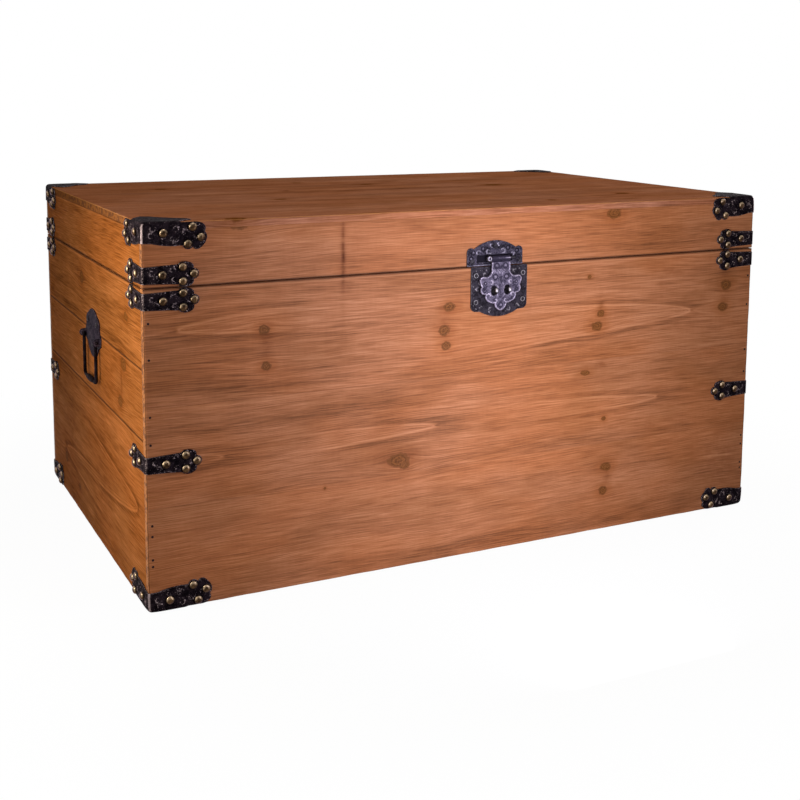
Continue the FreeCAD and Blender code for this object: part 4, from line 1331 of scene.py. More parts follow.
@dataclass(frozen=True)
class CornerIron:
    """A strap or bracket: leaves with a pressed pattern, bent round the corner."""

    box: WoodenBox
    node_stem: str
    body: str
    level: float
    capped: bool
    upside_down: bool
    nails: tuple[Spot, ...]
    scroll_centres: tuple[Coil, ...]

    RIM = ((0.0, 0.0), (0.16, -0.10), (0.26, -0.34), (0.28, -1.1))
    RIM_WEAR = (0.50, 0.70, 0.40, 0.0)

    def leaf_plan(self) -> tuple[Array, Array]:
        """The leaf's grid in its plane, and the part of its outline that is a free edge.

        Returns:
            The grid, and the free edge from bottom to top.
        """
        fold = -IRON
        if self.capped:
            bottom = curve((fold, fold), (36, fold), (36.7, 0.2), (50, 0.2), ((53.6, 1.1), (54.9, 3.6)))
            end = curve((54.9, 3.6), ((61, 2.9), (62, 10.2)), ((64.5, 15.8), (59.4, 21.7)))
            top = curve((fold, 19.8), (9, 20), ((30, 23.2), (40.4, 22.8)),
                        ((45.4, 27), (50.2, 24.2)), ((56.2, 26.9), (59.4, 21.7)))
            start = curve((fold, fold), (fold, 19.8))
        else:
            bottom = curve((fold, -8), (30, -9.2), (35.4, -9.2), ((39.2, -11.9), (43.2, -10)))
            end = curve((43.2, -10), ((48.2, -10.6), (50.2, -4.9)), ((55.9, 0), (50.2, 4.9)),
                        ((48.2, 10.6), (43.2, 10)))
            top = bottom * np.array([1.0, -1.0])
            start = curve((fold, -8), (fold, 8))
        columns = np.linspace(0, 1, 100) ** 1.12
        grid = coons(spread(bottom, columns), spread(top, columns), spread(start, 54), spread(end, 54))
        free = np.concatenate([grid[:, 0], grid[-1, 1:], grid[-2::-1, -1]])
        if self.capped:
            free = free[int(np.argmax(free[:, 0] > 36.0)) - 1:]
        return grid, free

    def cap_plan(self) -> tuple[Array, Array]:
        """The gusset's grid in its plane, and its free edge.

        Returns:
            The grid, and the free edge from the front leaf's side to the side leaf's.
        """
        fold = -IRON
        half = curve((36, fold), (36.4, 0), (52, 12), (48, 20), ((40.2, 24.9), (31, 31)))
        bottom, end = spread(curve((fold, fold), (36, fold)), 44), spread(half, 44)
        grid = coons(bottom, end[:, ::-1], bottom[:, ::-1], end)
        free = np.concatenate([grid[-1], grid[-2::-1, -1]])
        return grid, free

    def press(self, grid: Array, free: Array) -> Leaf:
        """Press the pattern into a leaf of that plan and free edge."""
        to_edge = distance_to(grid, spread(free, 400))
        return Leaf(grid, free, to_edge, self.relief(grid, to_edge), self.relief(free, 0 * free[..., 0]))

    def relief(self, plan: Array, to_edge: Array) -> Array:
        """Height of the pressed sheet: a raised hem, then scrolls that fade out at the folds.

        Args:
            plan: places in the leaf's plane.
            to_edge: their distance to the leaf's free edge.

        Returns:
            Heights over the wood.
        """
        inner = smooth_step(plan[..., 0], 0.6, 4.0)
        if self.capped:
            inner = inner * smooth_step(plan[..., 1], 0.6, 4.0)
        hem = bell(to_edge, 1.0, 0.55)
        pattern = scrolls(plan, self.scroll_centres) * smooth_step(to_edge, 1.6, 2.8)
        grain = wave(np.concatenate([plan, plan[..., :1] * 0.3], -1), 2.3) * smooth_step(to_edge, 1.0, 3.0)
        pressed = 0.30 * hem + 0.62 * pattern + 0.16 * grain - 0.20 * smooth_step(to_edge, 1.6, 3.0)
        return 1.1 + pressed * inner

    def add_sheet(self, skin: Skin, sheet: Sheet, leaf: Leaf, corner: Corner) -> None:
        """Lay one leaf and its rim on the chest.

        Args:
            skin: takes the patches.
            sheet: the plane that the leaf lies on.
            leaf: the leaf.
            corner: where the iron sits.
        """
        height, at_edge = leaf.height, smooth_step(leaf.to_edge, 0.6, 0.0)
        if sheet is Sheet.CAP:
            height, wear = np.minimum(height, IRON), 0.3 * at_edge
        else:
            # Bright fold ridge: wear, and a painted highlight where the bend catches light.
            folded = smooth_step(leaf.grid[..., 0], 2.0, 0.2) * (0.80 if self.capped else 0.50)
            worn = 0.10 * wave(sheet.lay(leaf.grid), 5.0, self.level)
            wear = 0.54 * smooth_step(height, 1.16, 1.50) + 0.40 * at_edge + folded + worn
        mirrored = sheet.value[2]

        def settle(plan: Array, stand: Array) -> Array:
            """Take plan places and heights to the chest."""
            local = wrap(sheet.lay(plan), stand, 2.0, 4.2 if self.capped else 2.0, 3 if self.capped else 2)
            return corner.place(local, self.box, self.level, self.upside_down)

        skin.add(settle(leaf.grid, height), wear, mirrored)
        skin.add(settle(*rim(leaf.free, leaf.edge_height, self.RIM)), self.RIM_WEAR, not mirrored)

    def build(self, material: Material) -> None:
        """Make the iron on each of the four corners.

        Args:
            material: the iron's finish.
        """
        leaf = self.press(*self.leaf_plan())
        cap = self.press(*self.cap_plan()) if self.capped else None
        for corner in CORNERS:
            skin = Skin()
            for sheet in (Sheet.FRONT, Sheet.SIDE):
                self.add_sheet(skin, sheet, leaf, corner)
            if cap:
                self.add_sheet(skin, Sheet.CAP, cap, corner)
            node = "%s_%s" % (self.node_stem, corner.name)
            install(skin.build("iron_" + node, material), self.body, "dark_iron", node)

    def nail_places(self) -> tuple[Array, Array]:
        """Where this iron's nails stand, on all four corners.

        Returns:
            The heads' middles on the sheet, and the way each faces.
        """
        places, ways = [], []
        for corner in CORNERS:
            for sheet in (Sheet.FRONT, Sheet.SIDE):
                feet = sheet.lay(np.array(self.nails))
                outer = feet.copy()
                outer[..., sheet.value[1]] -= 1.0
                feet, outer = (corner.place(points, self.box, self.level, self.upside_down)
                               for points in (feet, outer))
                places.append(feet)
                ways.append(outer - feet)
        return np.concatenate(places), np.concatenate(ways)


STRAP_INSET = 12.4
MIDDLE_STRAP_LEVEL = 150.5
STRAP_NAILS = ((19.6, 0), (39.7, -7), (39.7, 7), (50.9, 0))
BRACKET_NAILS = ((21, 10.4), (45.2, 21.8), (50.2, 5.4), (58.4, 15.8))
STRAP_SCROLLS = ((9, 3.4, 5.2, 1, 0.4), (11.6, -3.6, 5, -1, 2), (28.6, 3.4, 5.6, -1, 1),
                 (31.6, -3.8, 5.4, 1, 0.2), (44.8, 1, 5.6, 1, 1.5))
BRACKET_SCROLLS = ((8.6, 13.6, 6.2, 1, 0.4), (9.6, 5.2, 5.6, -1, 1.2), (30.6, 15.2, 7.2, -1, 0.8),
                   (32.2, 5.8, 6, 1, 2.4), (42.2, 11.6, 6.6, 1, 0.6), (53.2, 13.4, 6.4, -1, 1.8),
                   (20.6, 18, 4.2, 1, 1))


@dataclass(frozen=True)
class DomeNails:
    """The domed brass heads of some irons: part of a sphere over a short skirt, a little out of true."""

    name: str
    node: str
    body: str
    irons: tuple[CornerIron, ...]
    radius: float = 4.4
    rise: float = 3.1
    skirt: float = 0.45
    segments: int = 14
    tilt: float = 0.045

    def profile(self) -> Array:
        """The head's section, from the skirt to the crown.

        Returns:
            Radius and height of each ring.
        """
        angles = np.linspace(math.radians(78), 0.0, 6)
        risen = (np.cos(angles) - math.cos(angles[0])) / (1 - math.cos(angles[0]))
        dome = np.stack([np.sin(angles) / math.sin(angles[0]) * self.radius,
                         risen * (self.rise - self.skirt) + self.skirt], -1)
        return np.concatenate([[[self.radius * 0.97, -0.4]], dome])

    def build(self, material: Material) -> None:
        """Set a head on every nail place of the irons.

        Args:
            material: the brass.
        """
        found = [iron.nail_places() for iron in self.irons]
        places, ways = (np.concatenate(part) for part in zip(*found))
        chance = np.random.default_rng(11)
        ways = unit(ways + chance.normal(0.0, self.tilt, ways.shape))
        places = places + ways * chance.uniform(-0.05, 0.25, (len(ways), 1))
        profile = self.profile()
        # Bare brass in a ring on the flanks is painted highlight as much as wear; the dark skirt is painted
        # shade where the head meets the iron.
        worn = np.interp(profile[:, 1], (0.0, 0.5, 1.4, 2.4, self.rise), (-0.2, 0.25, 0.75, 0.60, 0.25))
        skin = Skin()
        for head in revolve(profile, places, ways, self.segments):
            # The upper side of each head is painted lighter: a painted highlight.
            upper = smooth_step(head[..., 2] - head[..., 2].mean(), -3.0, 1.5)
            skin.add(head, worn * (0.25 + 0.75 * upper))
        install(skin.build(self.name, material, sharp=70.0), self.body, "antique_brass", self.node)


# ------------------------------------------------------------------ hasp

@dataclass(frozen=True)
class FlatPlate:
    """A pressed plate on the front: its place, thickness and the way its pattern stands up."""

    centre: float
    zero: float
    face: float
    thickness: float
    pattern: Callable[[Array, Array], Array]

    RIM = ((0.0, 0.0), (0.18, -0.12), (0.28, -0.40))
    RIM_WEAR = (0.6, 0.7, 0.4, 0.0)

    def settle(self, plan: Array, height: Array) -> Array:
        """Take plan places and heights to the front of the chest."""
        return np.stack([plan[..., 0] + self.centre, self.face - height, plan[..., 1] + self.zero], -1)

    def add_region(self, skin: Skin, grid: Array, edge: Array, free: Array,
                   hole: Optional[Array] = None) -> None:
        """Lay a region of the plate with its rims.

        Args:
            skin: takes the patches.
            grid: the region's plan, first round it, then outwards.
            edge: the whole free outline, from which the pattern keeps its distance.
            free: the part of the outline that this region ends at.
            hole: the outline of its hole, if it has one.
        """
        to_edge = distance_to(grid, edge)
        relief = self.pattern(grid, to_edge)
        points = self.settle(grid, self.thickness + relief)
        mottle = wave(points, 9.0, self.zero) + wave(points, 3.1)
        wear = (0.72 * smooth_step(relief, 0.02, 0.34) - 0.9 * smooth_step(relief, -0.05, -0.24)
                + 0.35 * smooth_step(to_edge, 0.7, 0.0) + 0.14 * mottle)
        skin.add(points, wear, mirrored=True)
        steps = self.RIM + ((0.28, -self.thickness - 0.2),)
        for line, side in ((free, 1.0), (hole, -1.0)):
            if line is not None:
                stand = self.thickness + self.pattern(line, distance_to(line, edge))
                skin.add(self.settle(*rim(line, stand, steps, side)), self.RIM_WEAR, mirrored=side > 0)


def mirror(line: Array) -> Array:
    """The line's mirror image in x, run the other way."""
    return (line * np.array([-1.0, 1.0]))[::-1]


def closed(half: Array) -> Array:
    """A loop from its right half, which starts and ends on x = 0, going round anticlockwise."""
    return np.concatenate([half, mirror(half)[1:]])


class Hasp:
    """The plates, the tongue on its pin, the two eyes and the ring-headed screws."""

    UPPER_STUDS = ((-27.6, 15), (27.6, 15), (-15.4, 18.8), (16.2, 18.8), (0.4, 21), (-30.2, 8.6),
                   (30.4, 8.4), (-30.6, 2.9), (30.6, 2.9))
    UPPER_SCROLLS = ((-8.6, 16.6, 5.6, 1, 0.4), (8.8, 16.6, 5.6, -1, 2.7),
                     (-21.4, 13.8, 4.4, -1, 0.8), (22.4, 14, 4.4, 1, 2.3),
                     (-4.4, 22.6, 3.8, 1, 0.5), (5.4, 22.8, 3.8, -1, 0.3))
    LOWER_SCREWS = ((-30, -8.9), (30, -8.9), (-30, -38.6), (30, -38.6))
    LOWER_SCROLLS = ((-22, -45, 5, 1, 0), (22, -45, 5, -1, 3.1),
                     (-11, -48.5, 4.5, -1, 0.6), (11, -48.5, 4.5, 1, 2.5),
                     (-24, -16, 5, 1, 1), (-27, -25, 4.5, -1, 0.4),
                     (24.5, -15, 5, -1, 2), (-18, -8, 4.5, 1, 0.2),
                     (19, -7, 4.5, -1, 1.2))
    TONGUE_SCROLLS = ((12.6, -25.4, 4.4, 1, 0.5), (14.8, -41.6, 4.6, -1, 1.4),
                      (6.6, -46.4, 3.6, 1, 0.9))
    BARREL_RADIUS = 2.6
    BARREL_HALF = 11.7
    EARS = ((-17.6, -13.2), (18.6, 23.0))
    KNOB = -15.4
    SLOT_MIDDLE = (0.0, 7.8)
    LOWER_MIDDLE = (0.0, -26.0)
    EYE = (8.4, -35.6)
    EYE_HOLE = 4.3
    RING_OUT = 4.0
    RING_RADIUS = 2.75
    RING_THICK = 1.25
    RING_HALF_WIDTH = 1.7
    PLATE_THICK = 1.5
    TONGUE_THICK = 1.8
    TONGUE_OUT = 3.0
    LOOP_POINTS = 301

    def __init__(self) -> None:
        """Read the plates' places from the frame."""
        self.axis = joint_place("hasp_hinge")
        upper, lower = node_box("hasp_upper_plate"), node_box("hasp_lower_plate")
        self.face = lower[1][1]
        self.lower_zero = lower[1][2]
        self.upper_zero = upper[0][2]
        self.upper_centre = (upper[0][0] + upper[1][0]) / 2
        self.centre = self.axis[0]

    def upper_pattern(self, plan: Array, to_edge: Array) -> Array:
        """Studs round the arch, scrolls between them and a raised hem.

        Args:
            plan: places on the plate.
            to_edge: their distance to its edge.

        Returns:
            Heights over the flat plate.
        """
        rings = studs(plan, self.UPPER_STUDS, 2.5)
        leaves = scrolls(plan, self.UPPER_SCROLLS) * (np.abs(rings) < 0.05)
        hem = bell(to_edge, 0.8, 0.5)
        bottom = bell(plan[..., 1], 0.9, 0.6)
        return (0.34 * leaves - 0.30 * rings) * smooth_step(to_edge, 0.3, 1.0) + 0.16 * hem + 0.2 * bottom

    def lower_pattern(self, plan: Array, to_edge: Array) -> Array:
        """A row of beads round the plate inside a raised hem, and scrolls.

        Args:
            plan: places on the plate.
            to_edge: their distance to its edge.

        Returns:
            Heights over the flat plate.
        """
        x, z = plan[..., 0], plan[..., 1]
        across, up = (0.5 + 0.5 * np.cos(way * (math.tau / 4.2)) for way in (x, z))
        beads = across * up
        row = bell(to_edge, 3.4, 1.3)
        hem = bell(to_edge, 0.9, 0.5)
        leaves = scrolls(plan, self.LOWER_SCROLLS) * smooth_step(to_edge, 3.4, 4.6)
        return 0.52 * row * beads * (0.6 + 0.6 * np.sin(x * 0.9 + z * 0.6)) + 0.20 * hem + 0.30 * leaves

    def tongue_pattern(self, plan: Array, to_edge: Array) -> Array:
        """Rosettes, a waisted drop between coiled leaves, dots in the lobes and a raised rim.

        Args:
            plan: places on the plate.
            to_edge: their distance to its edge.

        Returns:
            Heights over the flat plate.
        """
        x, z = np.abs(plan[..., 0]), plan[..., 1]
        folded = np.stack([x, z], -1)
        rings = (studs(folded, ((5.4, -8.4), (7.2, -20.6)), 3.1)
                 + studs(folded, ((19.8, -27.0), (20.2, -35.4)), 1.7) + studs(plan, ((0.0, -52.2),), 2.9))
        half_drop = 1.1 + 3.2 * bell(z, -36.5, 7.5)
        drop = smooth_step(np.abs(x - half_drop), 0.9, 0.25) * smooth_step(np.abs(z + 29.0), 15.5, 13.0)
        chevron = (0.5 + 0.5 * np.cos((z + 1.5 * x) * 2.2)) * smooth_step(np.abs(z + 14.4), 2.8, 2.0)
        leaves = scrolls(folded, self.TONGUE_SCROLLS)
        eye = np.hypot(x - self.EYE[0], np.maximum(np.abs(z - self.EYE[1]) - 1.5, 0.0))
        collar = bell(eye, 5.2, 0.5)
        hem = bell(to_edge, 0.9, 0.7)
        inside = smooth_step(to_edge, 1.0, 1.9)
        under_barrel = 1.5 * smooth_step(z, -4.6, -3.2)
        lips = bell(x - half_drop, 0.5, 0.5) * smooth_step(np.abs(z + 29.0), 15.5, 13.0)
        pressed = 0.34 * lips - 0.16 * drop - 0.34 * rings + 0.30 * chevron + 0.34 * leaves + 0.24 * collar
        return inside * pressed + 0.34 * hem - under_barrel

    def upper_loops(self) -> tuple[Array, Array]:
        """The upper plate's outline and its slot, matched point to point.

        Returns:
            The outline and the slot, both anticlockwise and closed.
        """
        half = curve((0, 0), (35, 0), (35, 15), ((33.4, 18.6), (30, 19.8)), (26.4, 18.6),
                     ((13.6, 25), (0, 27.2)))
        slot = curve((0, 3.5), (22.6, 3.5), (22.6, 12.1), (-23.5, 12.1), (-23.5, 3.5), (0, 3.5))
        return spread(closed(half), self.LOOP_POINTS), spread(slot, self.LOOP_POINTS)

    def build_upper_plate(self) -> None:
        """The plate on the lid, with the two ears that hold the pin, and a dark sheet in its slot that is
        painted shade.
        """
        plate = FlatPlate(self.upper_centre, self.upper_zero, self.face, self.PLATE_THICK,
                          self.upper_pattern)
        outline, slot = self.upper_loops()
        skin = Skin()
        plate.add_region(skin, spokes(slot, outline, 34), np.concatenate([outline, slot]), outline, slot)
        # A dark sheet just above the wood fills the slot: painted shade in the recess.
        slot_shade_sheet = spokes(np.array(self.SLOT_MIDDLE), slot, 4)
        skin.add(plate.settle(slot_shade_sheet, np.full(slot_shade_sheet.shape[:-1], 0.15)), -1.0, mirrored=True)
        for left, right in self.EARS:
            self.add_ear(skin, self.centre + left, self.centre + right)
        self.add_knob(skin, self.centre + self.KNOB)
        piece = skin.build("plate_hasp_upper", PLATE_IRON.material())
        install(piece, "lid", "dark_iron", "hasp_upper_plate")

    def add_knob(self, skin: Skin, x: float) -> None:
        """The riveted end of the pin's ear: a ring with a small hollow, facing the front.

        Args:
            skin: takes the patch.
            x: its middle.
        """
        profile = curve((3, -2.2), (3, 0.6), ((2.75, 1.7), (1.9, 2.2)), ((1.3, 2.1), (0.9, 1.4)),
                        (0.01, 1.1))
        centre = np.array([[x, self.axis[1] - 1.6, self.axis[2]]])
        ring = revolve(profile, centre, -BACK[None], 28)[0]
        # The bare, bright rim is a painted highlight; the hollow is painted dark.
        worn = np.interp(profile[:, 0], (0.0, 0.9, 1.4, 2.9, 3.0), (-0.3, 0.0, 1.3, 1.1, 0.3))
        skin.add(ring, worn)

    def add_ear(self, skin: Skin, left: float, right: float) -> None:
        """A rounded ear about the pin's axis: its radius is 2.6 less a quarter round at each end.

        Args:
            skin: takes the patches.
            left: where the ear starts along the pin.
            right: where it ends.
        """
        centre = np.array([[left, self.axis[1], self.axis[2]]])
        length, radius = right - left, self.BARREL_RADIUS
        profile = curve((0.01, 0.25), (1.1, 0.25), (1.3, 0), ((2.3, 0.3), (radius, 1.2)),
                        (radius, length - 1.2), ((2.3, length - 0.3), (1.3, length)), (1.1, length - 0.25),
                        (0.01, length - 0.25))
        ring = revolve(profile, centre, RIGHT[None], 28)[0]
        # The upper side is painted lighter: a painted highlight.
        skin.add(ring, 0.05 + 0.3 * smooth_step(ring[..., 2] - self.axis[2], 0.0, 2.4))

    def build_lower_plate(self) -> None:
        """The plate on the base."""
        plate = FlatPlate(self.centre, self.lower_zero, self.face, self.PLATE_THICK, self.lower_pattern)
        half = curve((0, -55.8), ((12.5, -54.1), (24, -49.2)), (29.3, -49),
                     ((33.7, -47.3), (35.5, -43)), (35.5, -0.6), (34.9, 0), (0, 0))
        outline = spread(closed(half), self.LOOP_POINTS)
        skin = Skin()
        plate.add_region(skin, spokes(np.array(self.LOWER_MIDDLE), outline, 56), outline, outline)
        piece = skin.build("plate_hasp_lower", LOWER_IRON.material())
        install(piece, "base", "dark_iron", "hasp_lower_plate")

    def build_tongue(self) -> None:
        """The tongue: each half is spokes from its eye hole to its outline, under a turned barrel."""
        plate = FlatPlate(self.centre, self.axis[2], self.face - self.TONGUE_OUT, self.TONGUE_THICK,
                          self.tongue_pattern)
        right = curve((0, -58.2), ((5.4, -55.2), (7.4, -50)), ((10.4, -49.8), (13.4, -48.6)),
                      ((18.6, -44.8), (19.6, -39.6)), (21.8, -39.2), ((25.4, -35.2), (24.2, -31)),
                      (26, -26.6), ((25.6, -21.4), (20.4, -20)), ((13.6, -18.2), (11.7, -13)),
                      (11.7, 0), (0, 0))
        free = spread(right, 221)
        seam = spread(curve((0, 0), (0, -58.2)), 81)
        loop = np.concatenate([free, seam[1:]])
        away = unit(loop - np.array(self.EYE))
        longer = np.sign(away[:, 1]) * np.minimum(1.5, 3.0 * np.abs(away[:, 1]))
        hole = np.array(self.EYE) + away * self.EYE_HOLE + np.stack([0 * longer, longer], -1)
        edge = np.concatenate([free, mirror(free)[::-1]])
        skin = Skin()
        plate.add_region(skin, spokes(hole, loop, 34), edge, free, hole)
        plate.add_region(skin, spokes(mirror(hole), mirror(loop), 34), edge, mirror(free), mirror(hole))
        self.add_barrel(skin)
        install(skin.build("tongue_hasp", TONGUE_IRON.material()), "hasp", "dark_iron", "hasp_tongue")

    def add_barrel(self, skin: Skin) -> None:
        """The rolled barrel about the pin: radius 2.6, its ends rounded over.

        Args:
            skin: takes the patch.
        """
        length, radius = 2 * self.BARREL_HALF, self.BARREL_RADIUS
        profile = curve((1.25, 0.3), (1.5, 0), ((2.35, 0.25), (radius, 0.9)), (radius, length - 0.9),
                        ((2.35, length - 0.25), (1.5, length)), (1.25, length - 0.3))
        start = self.axis - self.BARREL_HALF * RIGHT
        barrel = revolve(profile, start[None], RIGHT[None], 32)[0]
        # A painted highlight runs along the front of the barrel's top; the rest is painted dark, painted
        # shade on its lower half.
        shine = bell(barrel[..., 2] - self.axis[2], 0.2, 0.7)
        shine = shine * smooth_step(barrel[..., 0] - start[0], 1.5, 4.5)
        skin.add(barrel, -0.7 + 1.8 * shine * smooth_step(self.axis[1] - barrel[..., 1], -0.5, 0.8))

    def build_eyes(self) -> None:
        """Two rings for the padlock's shackle, each on a foot that widens towards the plate.

        A ring is a torus flattened along its axis; its foot is a turned cone with rounded shoulders.
        """
        low, high = node_box("padlock_eyes")
        level = (low[2] + high[2]) / 2
        skin = Skin()
        for centre in (low[0] + 1.2, high[0] - 1.2):
            round_ring = np.linspace(0, math.tau, 29)[:, None]
            section = np.linspace(0, math.tau, 13)[None, :]
            radius = self.RING_RADIUS + self.RING_THICK * np.cos(section)
            ring = np.stack([centre + self.RING_HALF_WIDTH * np.sin(section) + 0 * round_ring,
                             low[1] + self.RING_OUT - radius * np.cos(round_ring),
                             level + radius * np.sin(round_ring)], -1)
            # Front and upper parts of each ring are painted bright and the lower part dark: painted
            # highlight and painted shade.
            skin.add(ring, 0.9 * smooth_step(low[1] + self.RING_OUT - ring[..., 1], 0.0, 3.5)
                     * smooth_step(ring[..., 2] - level, -3.0, 0.5), mirrored=True)
            foot = curve((3, 0), (2.8, 0.5), ((1.8, 1.4), (1.5, 2.8)), (1.2, 3.2))
            base = np.array([[centre, self.face - self.PLATE_THICK, level]])
            skin.add(revolve(foot, base, -BACK[None], 20)[0], 0.2)
        install(skin.build("eyes_padlock", BRIGHT_WIRE.material()), "base", "bright_steel", "padlock_eyes")

    def build(self) -> None:
        """Make every piece of the hasp."""
        self.build_upper_plate()
        self.build_lower_plate()
        self.build_tongue()
        self.build_eyes()


# ------------------------------------------------------------------ side handles

class Handles:
    """A cast plate, its two ears and a drop bail on each side of the chest."""

    OUTLINE = ((0, -29.5), ((12, -27.6), (24, -17)), (36.4, -12.5), (37, -3),
               ((31.6, 2), (31, 11)), ((27, 15.6), (20, 17.6)), ((10.8, 22.6), (0, 24)))
    SCROLLS = ((-8, 6, 6, 1, 0.3), (8, 6, 6, -1, 2.8), (-21, 3, 5, -1, 1),
               (21, 3, 5, 1, 2.1), (0, -8, 5.5, 1, 0.6))
    RIM = ((0.0, 0.0), (0.25, -0.2), (0.38, -0.6), (0.4, -2.6))
    RIM_WEAR = (0.5, 0.6, 0.3, 0.0)
    PLATE_MIDDLE = (0.0, 2.0)
    LIFT = 7.5
    AXIS_OUT = 5.2
    BAIL_RADIUS = 1.9
    SPAN = 29.0
    DROP = 47.0
    BEND = 6.0
    GRIP_HALF = 16.0
    EAR_RADIUS = 4.2
    EAR_WIDTH = 4.0
    EAR_START = SPAN + BAIL_RADIUS + 0.5
    STOP_BEND = 2.6
    GRIP_SWELL = 1.3

    def __init__(self) -> None:
        """Read the bail's axis from the frame."""
        self.axes = {side: joint_place(side + "_bail_hinge") for side in ("left", "right")}

    def settle(self, side: str, along: Array, stand: Array, up: Array) -> Array:
        """Take places on a handle to the chest.

        Args:
            side: left or right.
            along: distance from the handle's middle, to the right seen from outside.
            stand: distance out from the wall.
            up: height over the bail's axis.

        Returns:
            The places.
        """
        axis = self.axes[side]
        sign = -1.0 if side == "left" else 1.0
        out = sign * (stand - self.AXIS_OUT)
        return np.stack(np.broadcast_arrays(axis[0] + out, axis[1] + sign * along, axis[2] + up), -1)

    def plate_height(self, plan: Array, to_edge: Array) -> Array:
        """The cast plate: a swelling in the middle, a rolled hem and coiled leaves.

        Args:
            plan: places on the plate.
            to_edge: their distance to its edge.

        Returns:
            Heights over the wall.
        """
        swell = np.exp(-(np.hypot(plan[..., 0] / 24.0, (plan[..., 1] + 5.5) / 10.0)) ** 3.0)
        leaves = scrolls(plan, self.SCROLLS) * smooth_step(to_edge, 1.5, 3.0)
        hem = bell(to_edge, 1.1, 0.7)
        return 1.7 + 2.5 * swell + 0.45 * leaves + 0.35 * hem

    def build_plate(self, side: str, material: Material) -> None:
        """The plate and its ears.

        Args:
            side: left or right.
            material: their finish.
        """
        outline = spread(closed(curve(*self.OUTLINE)), 221)
        grid = spokes(np.array(self.PLATE_MIDDLE), outline, 40)
        to_edge = distance_to(grid, outline)
        height = self.plate_height(grid, to_edge)
        skin = Skin()
        wear = 0.5 * smooth_step(to_edge, 1.6, 0.0) + 0.42 * smooth_step(height, 2.4, 4.4)
        skin.add(self.settle(side, grid[..., 0], height, grid[..., 1] + self.LIFT), wear)
        edge_height = self.plate_height(outline, distance_to(outline, outline))
        plan, stand = rim(outline, edge_height, self.RIM)
        edge = self.settle(side, plan[..., 0], stand, plan[..., 1] + self.LIFT)
        skin.add(edge, self.RIM_WEAR, mirrored=True)
        self.add_ears(skin, side)
        install(skin.build("plate_%s_handle" % side, material), "base", "dark_iron", side + "_handle_plate")

    def add_ears(self, skin: Skin, side: str) -> None:
        """Two rounded lugs that hold the bail's ends.

        A lug's outline is a half circle on a straight stem; its faces are that outline drawn in by the
        rounding of its edges.

        Args:
            skin: takes the patches.
            side: left or right.
        """
        radius, width = self.EAR_RADIUS, self.EAR_WIDTH
        turn = np.linspace(-math.pi / 2, math.pi / 2, 15)
        lug = np.stack([self.AXIS_OUT + radius * np.cos(turn), radius * np.sin(turn)], -1)
        outline = np.concatenate([[[0.0, -radius]], lug, [[0.0, radius]]])
        offsets = np.array([0.0, 0.0, 0.35, 0.9, width - 0.9, width - 0.35, width, width])
        inset = np.array([4.0, 0.9, 0.25, 0.0, 0.0, 0.25, 0.9, 4.0])
        middle = np.array([3.4, 0.0])
        for sign in (-1.0, 1.0):
            shrink = 1.0 - inset / (radius + 0.2)
            plan = middle + (outline[:, None] - middle) * shrink[None, :, None]
            plan[..., 0] = np.where(outline[:, None, 0] < 0.01, 0.0, plan[..., 0])
            along = sign * (self.EAR_START + offsets)[None, :] + 0 * plan[..., 0]
            wear = np.interp(inset, (0.0, 0.9, 4.0), (0.25, 0.5, 0.1))
            skin.add(self.settle(side, along, plan[..., 0], plan[..., 1]), wear, mirrored=sign > 0)

    def bail_path(self) -> Array:
        """The bail's middle line.

        Returns:
            Places along the wall and down from the axis.
        """
        span, drop, small, bend = self.SPAN, self.DROP, self.STOP_BEND, self.BEND
        outer, inner = (radius * (1 - math.sqrt(0.5)) for radius in (small, bend))
        right = curve((self.EAR_START + self.EAR_WIDTH + 1, 0), (span + small, 0),
                      ((span + outer, -outer), (span, -small)), (span, bend - drop),
                      ((span - inner, inner - drop), (span - bend, -drop)), (0, -drop))
        return spread(closed(right), 161)

    def build_bail(self, side: str, material: Material) -> None:
        """A round bar carried along the path, thicker at the grip, closed to a point at its ends.

        Args:
            side: left or right.
            material: its finish.
        """
        path = self.bail_path()
        normal = outward(path)
        at_grip = (np.abs(path[:, 1] + self.DROP) < 0.5) & (np.abs(path[:, 0]) < self.GRIP_HALF)
        along_grip = np.clip(path[:, 0] / self.GRIP_HALF, -1, 1) * math.pi / 2
        swell = np.where(at_grip, self.GRIP_SWELL * np.cos(along_grip) ** 0.5, 0.0)
        radius = self.BAIL_RADIUS + swell
        radius[[0, -1]] = 0.01
        turn = np.linspace(0, math.tau, 17)
        along = path[:, None, 0] + normal[:, None, 0] * radius[:, None] * np.cos(turn)
        up = path[:, None, 1] + normal[:, None, 1] * radius[:, None] * np.cos(turn)
        stand = self.AXIS_OUT + radius[:, None] * np.sin(turn)
        skin = Skin()
        skin.add(self.settle(side, along, stand, up), 0.2 * smooth_step(stand, 5.6, 7.2) - 0.2)
        install(skin.build("bail_%s" % side, material), side + "_bail", "dark_iron", side + "_bail")

    def build(self) -> None:
        """Make both handles."""
        plate_iron, bar_iron = HANDLE_IRON.material(), BLACK_IRON.material()
        for side in self.axes:
            self.build_plate(side, plate_iron)
            self.build_bail(side, bar_iron)


# ------------------------------------------------------------------ small fasteners and the back hinges

